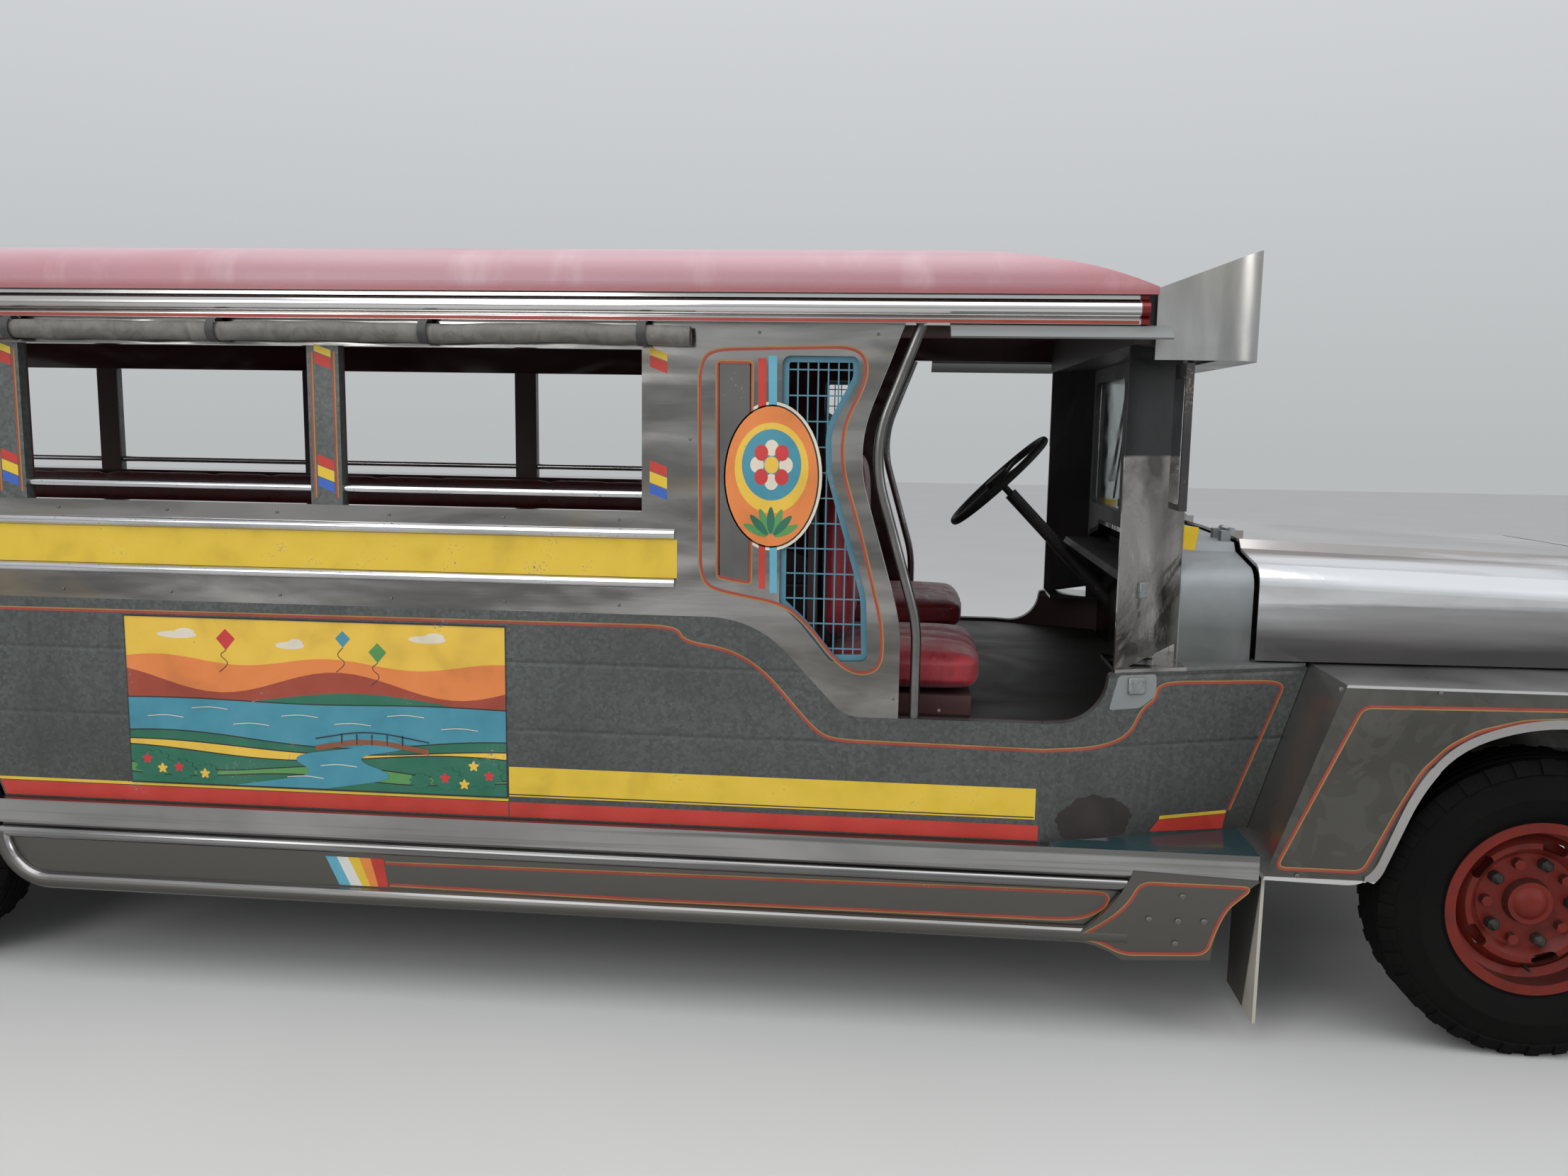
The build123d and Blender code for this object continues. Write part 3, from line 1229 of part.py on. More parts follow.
# Steering column from the firewall, and the wheel on its upper end
wheel_hub = (1257.0, -420.0, 1357.0)
column_slope = radians(46.0)
column_direction = Vector(-cos(column_slope), 0, sin(column_slope))
hub_point = Vector(behind(wheel_hub[0]), -wheel_hub[1], wheel_hub[2])
column_radius = 22.0
shaft_radius = 12.0
steering_radius = 205.0
with BuildPart() as steering_column:
    column_top = hub_point - column_direction * 60
    with BuildSketch(Plane(origin=column_top, z_dir=-column_direction)):
        Circle(column_radius)
    extrude(amount=600)
    block(firewall - 200, firewall + firewall_sheet, -500, -340, 600, 1200, mode=Mode.SUBTRACT)
    with BuildSketch(Plane(origin=column_top, z_dir=-column_direction)):
        Circle(shaft_radius + running_fit)
    extrude(amount=120, mode=Mode.SUBTRACT)
save(steering_column, "steering_column")

with BuildPart() as steering_wheel:
    wheel_plane = Plane(origin=hub_point, x_dir=(0, 1, 0), z_dir=column_direction)
    with BuildSketch(Plane(origin=hub_point, x_dir=(0, 1, 0), z_dir=Vector(0, 1, 0).cross(column_direction))):
        with Locations((steering_radius, 0)):
            Circle(13)
    revolve(axis=Axis(hub_point, column_direction))
    with BuildSketch(wheel_plane.offset(-20)):
        Circle(45)
    extrude(amount=40)
    with BuildSketch(wheel_plane.offset(-6)):
        with PolarLocations(steering_radius / 2, 3, start_angle=90):
            Rectangle(steering_radius, 22)
    extrude(amount=10)
    with BuildSketch(Plane(origin=hub_point - column_direction * 15, z_dir=-column_direction)):
        Circle(shaft_radius)
    extrude(amount=140)
save(steering_wheel, "steering_wheel")
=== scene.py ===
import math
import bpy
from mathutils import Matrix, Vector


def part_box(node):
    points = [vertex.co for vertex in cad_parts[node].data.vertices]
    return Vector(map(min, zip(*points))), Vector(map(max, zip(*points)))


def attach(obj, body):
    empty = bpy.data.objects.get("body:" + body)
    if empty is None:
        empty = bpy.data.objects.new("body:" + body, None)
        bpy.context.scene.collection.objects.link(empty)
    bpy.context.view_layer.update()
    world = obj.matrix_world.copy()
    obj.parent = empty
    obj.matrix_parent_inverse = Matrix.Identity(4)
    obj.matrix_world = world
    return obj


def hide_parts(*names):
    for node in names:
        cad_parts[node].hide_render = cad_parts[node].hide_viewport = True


bl_info = {
    "name": "Jeepney Finish",
    "version": (1, 0, 0),
    "blender": (4, 5, 0),
    "location": "View3D > Sidebar > Jeepney",
    "description": "Finishes, paint, tyres, seats and small parts for the jeepney",
    "category": "Object",
}

import bpy
from mathutils import Matrix, Vector

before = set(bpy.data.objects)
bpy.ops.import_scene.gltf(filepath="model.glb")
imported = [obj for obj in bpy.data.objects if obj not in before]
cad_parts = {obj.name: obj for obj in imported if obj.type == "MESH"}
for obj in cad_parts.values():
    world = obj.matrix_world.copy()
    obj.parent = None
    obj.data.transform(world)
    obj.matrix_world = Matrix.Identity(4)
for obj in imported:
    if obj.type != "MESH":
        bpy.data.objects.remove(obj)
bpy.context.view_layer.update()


def middle(node):
    low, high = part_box(node)
    return (low + high) / 2


# Places and sizes that the dressing shares with the solids, in metres
FRONT_X = middle("tyre_front_right").x
WHEELBASE = FRONT_X - middle("tyre_rear_right").x
WHEEL_Y = abs(middle("tyre_front_right").y)
TYRE_RADIUS = middle("tyre_front_right").z
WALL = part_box("upper_sides")[1].y
HALF_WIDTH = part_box("fenders")[1].y - 0.006
FENDER_LOW, FENDER_TOP = (corner.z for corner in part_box("fenders"))
SKIRT = HALF_WIDTH - 0.016
PLATE = HALF_WIDTH + 0.004
BODY_REAR = FRONT_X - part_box("lower_sides")[0].x
TAPER_START = 1.223
TAPER_END = 0.661
TAPER_FACE = WALL - 0.198
WINDOW_START = 2.242
WINDOW_PITCH = (BODY_REAR - WINDOW_START - 0.002) / 4
POST_WIDTH = 0.084
POST_EDGES = [WINDOW_START + number * WINDOW_PITCH - POST_WIDTH for number in range(1, 5)]
BENCH_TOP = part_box("seat_bases")[1].z - 0.28
ARCH_RADIUS = 0.418
TAIL_RADIUS = 0.048
PRESSED = (0.742, 0.921)
ROOF_EDGE = 1.862
FASCIA_TOP = 1.853
FASCIA_FRONT = 1.048
QUARTER_FRONT = 0.852
POST_TOP = 1.470
LEDGE_REAR = 1.20
FILM = 0.0004

# Both hands with their sign across, and the wheels: name, sign across, middle
SIDES = (("left", 1), ("right", -1))
WHEELS = [(f"{end}_{hand}", sign, Vector((FRONT_X - back, sign * WHEEL_Y, TYRE_RADIUS)))
          for end, back in (("front", 0.0), ("rear", WHEELBASE)) for hand, sign in SIDES]
# Turn of a round piece that faces ahead
AHEAD = (0, math.pi / 2, 0)

# Tones that several materials share
MAROON = (0.045, 0.010, 0.012)
STEEL = (0.34, 0.33, 0.315)
ZINC = (0.102, 0.110, 0.106)
# Short names for inputs of the shader
SOCKETS = {"colour": "Base Color", "rough": "Roughness", "metal": "Metallic", "coat": "Coat Weight",
           "coat_rough": "Coat Roughness", "sheen": "Sheen Weight", "clear": "Transmission Weight",
           "ior": "IOR", "specular": "Specular IOR Level"}


# Settings that a user would change


class JeepneySizes(bpy.types.PropertyGroup):
    pinstripe: bpy.props.FloatProperty(
        name="Pinstripe", description="Width of each line of the double pinstripe",
        default=0.0065, unit="LENGTH")
    tread_depth: bpy.props.FloatProperty(
        name="Tread depth", description="Depth of the grooves in the tyres",
        default=0.008, unit="LENGTH")
    shoulder_lugs: bpy.props.IntProperty(
        name="Shoulder lugs", description="Lugs on each shoulder of a tyre", default=36)
    seat_crown: bpy.props.FloatProperty(
        name="Seat crown", description="Rise of a cushion's middle over its edge",
        default=0.018, unit="LENGTH")
    curtain_turns: bpy.props.FloatProperty(
        name="Curtain turns", description="Turns of cloth in a rolled curtain", default=5.0)


def colour(label, description, value):
    return bpy.props.FloatVectorProperty(
        name=label, description=description, default=value, size=3, subtype="COLOR", min=0, max=1)


class JeepneyColours(bpy.types.PropertyGroup):
    red: colour("Red", "Red paint of the bands", (0.46, 0.030, 0.018))
    yellow: colour("Yellow", "Yellow paint of the plates", (0.66, 0.45, 0.03))
    orange: colour("Orange", "Outer line of the pinstripes", (0.30, 0.042, 0.024))
    gold: colour("Gold", "Inner line of the pinstripes", (0.30, 0.175, 0.05))
    blue: colour("Blue", "Blue paint and the wire panels", (0.065, 0.20, 0.27))
    roof: colour("Roof", "Faded paint of the roof", (0.42, 0.21, 0.235))
    wheel: colour("Wheels", "Paint of the steel wheels", (0.165, 0.015, 0.008))
    vinyl: colour("Vinyl", "Seat covers", (0.25, 0.010, 0.018))


# Short ways to build a node material


def add_node(tree, kind, inputs=None, **settings):
    """A new node with its settings; each input is a socket to link or a value."""
    made = tree.nodes.new(kind)
    for key, value in settings.items():
        setattr(made, key, value)
    for key, value in (inputs or {}).items():
        if isinstance(value, bpy.types.NodeSocket):
            tree.links.new(value, made.inputs[key])
        else:
            made.inputs[key].default_value = value
    return made


def shade(tone, factor):
    return tuple(min(1.0, part * factor) for part in tone)


class Finish:
    """A new material, built up a layer in a line; every pattern reads Object coordinates."""

    def __init__(self, name):
        self.material = bpy.data.materials.new(name)
        self.material.use_nodes = True
        self.tree = self.material.node_tree
        self.shader = self.tree.nodes["Principled BSDF"]
        self.point = self.node("ShaderNodeTexCoord").outputs["Object"]
        self.x, self.y, self.z = self.node("ShaderNodeSeparateXYZ", {0: self.point}).outputs
        self.base = None

    def node(self, kind, inputs=None, **settings):
        return add_node(self.tree, kind, inputs, **settings)

    def facing(self):
        """The three parts of the surface's direction."""
        normal = self.node("ShaderNodeNewGeometry").outputs["Normal"]
        return self.node("ShaderNodeSeparateXYZ", {0: normal}).outputs

    def noise(self, scale, detail=4.0, stretch=(1, 1, 1), distortion=0.0):
        place = self.node("ShaderNodeMapping", {0: self.point, 3: stretch}).outputs[0]
        inputs = {"Vector": place, "Scale": scale, "Detail": detail, "Distortion": distortion}
        return self.node("ShaderNodeTexNoise", inputs).outputs[0]

    def cells(self, scale):
        made = self.node("ShaderNodeTexVoronoi", {"Vector": self.point, "Scale": scale})
        return self.node("ShaderNodeRGBToBW", {0: made.outputs["Color"]}).outputs[0]

    def calc(self, kind, first, second=0.0):
        return self.node("ShaderNodeMath", {0: first, 1: second}, operation=kind).outputs[0]

    def times(self, first, second):
        return self.calc("MULTIPLY", first, second)

    def most(self, first, second):
        return self.calc("MAXIMUM", first, second)

    def size(self, value):
        return self.calc("ABSOLUTE", value)

    def ripple(self, value, rate):
        return self.calc("SINE", self.times(value, rate))

    def span(self, value, start, end, low=0.0, high=1.0):
        """Share of the way from start to end, held at both ends."""
        inputs = {0: value, 1: start, 2: end, 3: low, 4: high}
        return self.node("ShaderNodeMapRange", inputs).outputs[0]

    def line(self, value, place, half):
        """1 on a line across the value, 0 half away from it."""
        return self.span(self.size(self.calc("SUBTRACT", value, place)), 0.0, half, 1.0, 0.0)

    def blend(self, share, first, second):
        first, second = (tone if isinstance(tone, bpy.types.NodeSocket) else (*tone, 1)
                         for tone in (first, second))
        return self.node("ShaderNodeMix", {0: share, 6: first, 7: second}, data_type="RGBA").outputs[2]

    def tones(self, tone, dark, light, pattern, start, end):
        """The lowest layer: a tone that runs from its dark to its light shade across a pattern."""
        self.base = self.blend(self.span(pattern, start, end), shade(tone, dark), shade(tone, light))

    def cover(self, tone, share, *span):
        """Lay a tone over the layers, by a share or by the span that a pattern runs through."""
        self.base = self.blend(self.span(share, *span) if span else share, self.base, tone)

    def dust(self, tone, pattern, top, foot, most, least=0.0):
        """Road dust that thickens from the top level down to the foot, as uneven as the pattern."""
        self.cover(tone, self.times(self.span(self.z, top, foot, least, most), pattern))

    def bump(self, height, distance, strength=1.0):
        inputs = {"Height": height, "Distance": distance, "Strength": strength}
        before = self.shader.inputs["Normal"].links
        if before:
            inputs["Normal"] = before[0].from_socket
        made = self.node("ShaderNodeBump", inputs)
        self.tree.links.new(made.outputs[0], self.shader.inputs["Normal"])

    def done(self, rough, **values):
        """Plug the layers in, with a roughness that is a value or a pattern's span."""
        values["colour"] = self.base
        values["rough"] = self.span(*rough) if isinstance(rough, tuple) else rough
        for key, value in values.items():
            socket = self.shader.inputs[SOCKETS[key]]
            if isinstance(value, bpy.types.NodeSocket):
                self.tree.links.new(value, socket)
            else:
                socket.default_value = value
        return self.material


# Finishes that several pieces share


def inside_wall(finish, taper=False):
    """1 on the inner faces of the body's walls, 0 on their outer faces."""
    out = finish.size(finish.y)
    if taper:
        back = finish.calc("SUBTRACT", FRONT_X, finish.x)
        far_end = 2 * TAPER_END - TAPER_START
        narrow = finish.span(back, TAPER_START, far_end, 0.0, 2 * (WALL - TAPER_FACE))
        out = finish.calc("ADD", out, narrow)
    return finish.span(out, WALL - 0.028, WALL - 0.026, 1.0, 0.0)


def sheet_steel(name, tone, rough=(0.07, 0.22), dents=0.014, streak=(1.0, 1.0, 6.0), inner=None,
                low=0.5, warm_reflection=0.4, smudged=0.6):
    """Hand-formed sheet: dents, rolling streaks, yellow-brown patches painted as reflections, dust near its
    lower edge, dark inside.
    """
    steel = Finish(name)
    streaks = steel.noise(1.8, 7.0, streak, 0.5)
    smudges = steel.noise(2.6, 6.0, (0.8, 1, 1.8), 0.9)
    steel.tones(tone, 0.66, 1.3, streaks, 0.38, 0.62)
    steel.cover(shade(tone, 0.32), smudges, 0.54, 0.70, 0.0, smudged)
    # Painted reflection: yellow-brown patches on the polished sheet
    steel.cover((0.44, 0.34, 0.20), steel.noise(1.7, 3.0, (0.7, 1, 1.8), 1.2), 0.54, 0.66, 0.0, warm_reflection)
    steel.dust((0.10, 0.085, 0.07), smudges, low + 0.16, low, 0.7)
    metal = 1.0
    if inner:
        inside = inside_wall(steel)
        steel.cover(inner, inside)
        metal = steel.calc("SUBTRACT", 1.0, inside)
    steel.bump(steel.noise(2.2, 2.0, (0.7, 1, 1.5), 0.6), dents)
    steel.bump(steel.noise(38.0, 2.0, (0.25, 1, 3.0)), 0.0002, 0.4)
    return steel.done((smudges, 0.3, 0.7, *rough), metal=metal)


def galvanised(name, tone, pressed=(), inner=None, seams=()):
    """Zinc-coated sheet: fine spangle, grey stains, run marks, pressed lines and welded seams."""
    zinc = Finish(name)
    stains = zinc.noise(2.6, 7.0, (1, 1, 0.8), 0.4)
    zinc.tones(tone, 0.84, 1.18, zinc.cells(105.0), 0.2, 0.9)
    zinc.cover(shade(tone, 1.8), zinc.noise(160.0, 3.0), 0.60, 0.72, 0.0, 0.5)
    zinc.cover(shade(tone, 0.6), stains, 0.48, 0.74, 0.0, 0.5)
    zinc.cover((0.07, 0.065, 0.056), zinc.noise(9.0, 4.0, (2.4, 1, 0.16)), 0.58, 0.74, 0.0, 0.35)
    zinc.dust((0.06, 0.05, 0.042), stains, 0.72, 0.5, 0.55)
    for place in pressed:
        mark = zinc.line(zinc.z, place, 0.009)
        # Painted shade along each pressed line, over its groove
        zinc.cover(shade(tone, 0.6), zinc.times(mark, 0.3))
        zinc.bump(mark, -0.0012)
    for place in seams:
        zinc.bump(zinc.line(zinc.x, place, 0.004), -0.002)
    metal = 0.8
    if inner:
        inside = inside_wall(zinc, True)
        zinc.cover(inner, inside)
        metal = zinc.span(inside, 0.0, 1.0, 0.8, 0.0)
    zinc.bump(zinc.noise(1.3, 1.5), 0.004)
    return zinc.done((stains, 0.3, 0.7, 0.4, 0.6), metal=metal)


def paint(name, tone, rough=0.4, wear=None, metal=0.0, peel=0.0006, grime=0.5, scale=6.0,
          chipped=(0.37, 0.40)):
    """Brushed or sprayed paint: uneven film, chips down to what is under it, road dust."""
    coat = Finish(name)
    cloud = coat.noise(scale, 7.0, distortion=0.3)
    fine = coat.noise(scale * 22, 3.0)
    coat.tones(tone, 0.8, 1.16, cloud, 0.3, 0.7)
    coat.cover((0.085, 0.07, 0.06), coat.times(coat.span(cloud, 0.45, 0.8), grime))
    if wear:
        coat.cover(wear, coat.times(cloud, fine), *chipped)
    coat.bump(fine, peel, 0.6)
    return coat.done((cloud, 0.3, 0.7, rough, rough + 0.18), metal=metal)


def plain_paint(name, tone):
    """Sign paint as on the body's sides: thin, little worn."""
    return paint(name, tone, 0.42, (0.2, 0.2, 0.19), grime=0.22, peel=0.0002, scale=9.0,
                 chipped=(0.42, 0.44))


def bright(name, tone=(0.62, 0.62, 0.63), rough=0.09):
    """Chrome or polished bar with haze, faint rust specks and fingermarks."""
    plate = Finish(name)
    haze = plate.noise(7.0, 6.0, (0.5, 1, 2))
    plate.tones(tone, 1.0, 0.7, haze, 0.4, 0.7)
    plate.cover((0.16, 0.10, 0.07), plate.noise(120.0, 2.0), 0.66, 0.72, 0.0, 0.5)
    plate.bump(plate.noise(4.0, 2.0), 0.0012)
    return plate.done((haze, 0.35, 0.75, rough, rough + 0.2), metal=1.0)


def rubber(name, tone, scale=60.0, dust=0.5, specular=0.5):
    """Rubber with dust in its hollows and a dull, slightly grained face."""
    gum = Finish(name)
    cloud = gum.noise(4.5, 6.0)
    gum.base = tone
    gum.cover((0.11, 0.095, 0.08), cloud, 0.35, 0.75, 0.0, dust)
    gum.bump(gum.noise(scale * 6, 3.0), 0.0006, 0.6)
    return gum.done((cloud, 0.3, 0.7, 0.62, 0.88), specular=specular)


def woven(name, tone, thread, crease=0.003):
    """Cloth or vinyl: thread grain, creases with painted shade, a sheen at its edges."""
    cloth = Finish(name)
    across = cloth.ripple(cloth.x, thread * 6.28)
    along = cloth.ripple(cloth.calc("ADD", cloth.y, cloth.z), thread * 6.28)
    folds = cloth.noise(14.0, 5.0, (1.6, 1, 1), 1.2)
    # Painted shade: the tone is dark in the creases and light on their ridges
    cloth.tones(tone, 0.7, 1.2, folds, 0.35, 0.7)
    cloth.bump(folds, crease)
    cloth.bump(cloth.times(across, along), 0.0003, 0.4)
    return cloth.done((folds, 0.3, 0.7, 0.34, 0.6), sheen=0.15)


def clear(name, tone, rough=0.02, tinted=0.0):
    """Glass or a clear lens under a dusty film."""
    pane = Finish(name)
    film = pane.noise(5.0, 6.0, (1, 1, 2))
    pane.bump(pane.noise(2.0, 1.0), 0.0001)
    pane.base = tone
    pane.cover(shade(tone, 0.7), film, 0.45, 0.8, 0.0, 0.35)
    return pane.done((film, 0.4, 0.8, rough, rough + 0.12), clear=1.0 - tinted, ior=1.45)


def fluted(name, tone, flutes):
    """Pressed lens: upright flutes painted with highlight and shade, over a dimpled reflector painted as
    darker rows, a dusty face.
    """
    lens = Finish(name)
    ripple = lens.ripple(lens.y, flutes * 6.28)
    cloud = lens.noise(16.0, 4.0, distortion=0.5)
    # Painted highlight and shade across the flutes, then painted shade in rows for the reflector's dimples
    lens.tones(tone, 0.5, 1.2, ripple, -1.0, 1.0)
    lens.cover(shade(tone, 0.4), lens.ripple(lens.z, flutes * 2.5), 0.2, 1.0, 0.0, 0.5)
    lens.cover((0.2, 0.18, 0.15), cloud, 0.55, 0.8, 0.0, 0.3)
    lens.bump(ripple, 0.0012)
    return lens.done((cloud, 0.3, 0.7, 0.06, 0.2), coat=1.0, coat_rough=0.04, metal=0.3)


# Finishes of one piece each


def wheel_paint(tone):
    """Red paint on a steel wheel: black brake dust in patches, and painted shade on the walls of its hollows
    and round the hub.
    """
    disc = Finish("wheel_paint")
    cloud = disc.noise(9.0, 7.0, distortion=0.3)
    fine = disc.noise(60.0)
    # Painted shade: faces that turn away from the wheel's outer side
    wall_shade = disc.span(disc.size(disc.facing()[1]), 0.75, 0.45, 0.0, 0.75)
    disc.tones(tone, 0.7, 1.15, cloud, 0.3, 0.7)
    disc.cover((0.022, 0.014, 0.012), disc.most(wall_shade, disc.span(cloud, 0.52, 0.72, 0.0, 0.8)))
    disc.cover((0.05, 0.03, 0.025), fine, 0.62, 0.70, 0.0, 0.6)
    disc.bump(fine, 0.0006, 0.6)
    return disc.done((cloud, 0.3, 0.7, 0.36, 0.6), specular=0.25)


def hood_steel():
    """Bright hood with painted reflection: dark low on its sides, a painted white highlight band under the
    shoulder, a streaked deck.
    """
    sheet = Finish("hood_steel")
    streaks = sheet.noise(2.0, 7.0, (0.5, 5, 9), 0.3)
    cloud = sheet.noise(2.4, 6.0, (0.7, 1, 2), 0.8)
    level = sheet.calc("ADD", sheet.z, sheet.span(streaks, 0.3, 0.7, -0.022, 0.022))
    # Painted reflection, from the dark foot of the side over grey and a white highlight band to the deck
    sheet.base = (0.14, 0.135, 0.135)
    sheet.cover((0.50, 0.50, 0.50), level, 0.985, 1.075)
    sheet.cover((0.95, 0.96, 0.97), level, 1.085, 1.10)
    sheet.cover((0.50, 0.47, 0.45), level, 1.19, 1.21)
    sheet.cover((0.24, 0.21, 0.20), cloud, 0.50, 0.72, 0.0, 0.4)
    sheet.bump(sheet.noise(1.5, 2.0, (0.6, 1, 2), 0.4), 0.006)
    sheet.bump(sheet.noise(40.0, 2.0, (0.2, 2, 3)), 0.0002, 0.4)
    return sheet.done((cloud, 0.3, 0.7, 0.08, 0.2), metal=1.0)


def flap_rubber():
    """Dark rubber flaps with a pale, dusty rim."""
    gum = Finish("flap_rubber")
    cloud = gum.noise(6.0, 6.0)
    gum.base = (0.012, 0.011, 0.011)
    gum.cover((0.026, 0.025, 0.023), cloud, 0.3, 0.7)
    gum.dust((0.24, 0.22, 0.18), cloud, 0.20, 0.05, 0.5, 0.15)
    # Pale wedge that the dust leaves along a front flap's outer edge, wider lower down
    reach = gum.calc("ADD", gum.size(gum.y), gum.span(gum.z, 0.43, 0.06, 0.0, 0.09))
    in_front = gum.span(gum.x, 0.0, 0.1)
    worn = gum.times(gum.span(reach, HALF_WIDTH - 0.026, HALF_WIDTH - 0.016), in_front)
    rim = gum.most(gum.span(gum.size(gum.facing()[0]), 0.8, 0.6),
                   gum.times(worn, gum.span(cloud, 0.3, 0.6, 0.7, 1.0)))
    gum.cover((0.42, 0.40, 0.34), rim)
    gum.bump(gum.noise(240.0, 3.0), 0.0006, 0.6)
    return gum.done((cloud, 0.3, 0.7, 0.6, 0.85), specular=0.3)


def fender_steel(tone):
    """Dull plate with faint scrolls and a polished lip round the wheel; the top, the sloped faces and the
    bottom edge painted lighter as highlight, and a white painted highlight along the folded top edge and the
    bottom edge.
    """
    sheet = Finish("fender_steel")
    cloud = sheet.noise(2.6, 6.0, (1, 1, 1.3), 0.6)
    out = sheet.size(sheet.y)
    lip = sheet.span(out, HALF_WIDTH + 0.0005, HALF_WIDTH + 0.001)
    top = sheet.span(sheet.z, FENDER_TOP - 0.007, FENDER_TOP - 0.005)
    slope = sheet.span(sheet.size(sheet.facing()[1]), 0.9, 0.7)
    hem_highlight = sheet.span(sheet.z, FENDER_LOW + 0.015, FENDER_LOW + 0.013)
    # Shine: the polished lip, with painted highlight on the top, the sloped faces and the bottom edge
    shine = sheet.most(sheet.most(sheet.most(lip, top), slope), hem_highlight)
    fold_highlight = sheet.times(top, sheet.span(out, HALF_WIDTH - 0.008, HALF_WIDTH - 0.004))
    sheet.tones(tone, 0.75, 1.15, cloud, 0.35, 0.7)
    sheet.cover(shade(tone, 1.5), sheet.noise(7.0, 1.0, distortion=3.0), 0.52, 0.55, 0.0, 0.18)
    sheet.cover((0.42, 0.41, 0.40), shine)
    sheet.cover((0.74, 0.74, 0.73), sheet.most(fold_highlight, hem_highlight))
    sheet.dust((0.10, 0.085, 0.07), cloud, 0.62, 0.44, 0.35)
    sheet.bump(sheet.noise(1.8, 1.5), 0.004)
    rough = sheet.calc("SUBTRACT", sheet.span(cloud, 0.3, 0.7, 0.26, 0.44), sheet.times(shine, 0.14))
    return sheet.done(sheet.calc("ADD", rough, sheet.times(slope, 0.12)), metal=1.0)


def skirt_steel(tone):
    """Bright band and tubes, a duller panel between them, teal paint on the ledge ahead of the doorway."""
    sheet = Finish("skirt_steel")
    cloud = sheet.noise(2.4, 6.0, (1, 1, 2), 0.5)
    out = sheet.size(sheet.y)
    panel = sheet.times(sheet.span(out, SKIRT + 0.002, SKIRT + 0.001), sheet.span(out, 0.84, 0.86))
    dull = sheet.most(panel, sheet.span(out, HALF_WIDTH + 0.002, HALF_WIDTH + 0.003))
    ledge = sheet.times(sheet.span(sheet.facing()[2], 0.7, 0.8), sheet.span(sheet.z, 0.50, 0.503))
    teal = sheet.times(ledge, sheet.span(sheet.x, FRONT_X - LEDGE_REAR, FRONT_X - LEDGE_REAR + 0.01))
    sheet.tones(tone, 0.8, 1.12, cloud, 0.35, 0.7)
    sheet.cover(shade(tone, 0.32), sheet.noise(1.0, 4.0, (0.35, 4, 34), 0.4), 0.50, 0.62, 0.0, 0.7)
    sheet.cover((0.13, 0.125, 0.116), dull)
    sheet.cover((0.018, 0.045, 0.052), teal)
    sheet.dust((0.09, 0.08, 0.07), cloud, 0.40, 0.24, 0.5)
    sheet.bump(sheet.noise(1.8, 1.5), 0.002)
    rough = sheet.calc("ADD", sheet.span(cloud, 0.3, 0.7, 0.1, 0.26), sheet.times(dull, 0.2))
    return sheet.done(rough, metal=sheet.span(teal, 0.0, 1.0, 1.0, 0.1))


def roof_paint(tone):
    """Sun-faded paint with redder patches and edge, run marks, a cream ceiling and a dark header."""
    skin = Finish("roof_paint")
    cloud = skin.noise(1.1, 6.0, (1, 1.6, 1), 0.3)
    skin.base = shade(tone, 0.85)
    skin.cover((0.54, 0.37, 0.41), skin.z, 1.90, 2.0)
    skin.cover((0.40, 0.15, 0.165), cloud, 0.52, 0.66, 0.0, 0.5)
    skin.cover((0.58, 0.44, 0.46), skin.noise(5.0, 5.0, (2.2, 0.3, 1)), 0.55, 0.75, 0.0, 0.3)
    skin.cover((0.30, 0.075, 0.08), skin.z, ROOF_EDGE + 0.014, ROOF_EDGE, 0.0, 0.75)
    skin.cover((0.20, 0.165, 0.12), skin.facing()[2], -0.1, -0.3)
    low = skin.span(skin.z, ROOF_EDGE + 0.006, ROOF_EDGE)
    skin.cover((0.025, 0.016, 0.016), skin.times(low, skin.span(skin.size(skin.y), 0.87, 0.86)))
    skin.bump(skin.noise(1.6, 2.0), 0.006)
    skin.bump(skin.noise(70.0, 3.0), 0.0006)
    return skin.done((cloud, 0.3, 0.7, 0.34, 0.52), coat=0.25, coat_rough=0.3)


def tail_steel(tone):
    """Bright sheet outside, maroon inside."""
    sheet = Finish("tail_steel")
    cloud = sheet.noise(2.0, 6.0, (1, 1, 1.2), 0.4)
    outside = sheet.span(sheet.x, FRONT_X - BODY_REAR + 0.003, FRONT_X - BODY_REAR + 0.001)
    sheet.tones(tone, 0.8, 1.15, cloud, 0.35, 0.7)
    sheet.base = sheet.blend(outside, MAROON, sheet.base)
    sheet.bump(sheet.noise(1.6, 1.5), 0.005)
    return sheet.done((cloud, 0.3, 0.7, 0.24, 0.45), metal=outside)


def fascia_bright():
    """Bright bead over a polished lip, with painted shade in the recess under the roof and a red front end.
    """
    bead = Finish("fascia_bright")
    haze = bead.noise(3.0, 6.0, (0.4, 1, 3))
    recess = bead.span(bead.z, FASCIA_TOP, FASCIA_TOP + 0.003)
    end = bead.span(bead.x, FRONT_X - FASCIA_FRONT, FRONT_X - FASCIA_FRONT + 0.003)
    bead.base = (0.66, 0.65, 0.64)
    bead.cover((0.40, 0.38, 0.36), haze, 0.4, 0.7)
    # Painted shade: the recess under the roof made dark
    bead.cover((0.05, 0.042, 0.042), recess)
    bead.cover((0.16, 0.010, 0.012), end)
    bead.bump(bead.noise(1.7, 2.0), 0.004)
    bead.bump(bead.noise(1.2, 3.0, (1, 1, 20)), 0.002, 0.4)
    metal = bead.span(bead.most(recess, end), 0.0, 1.0, 1.0, 0.3)
    return bead.done((haze, 0.35, 0.75, 0.1, 0.28), metal=metal)


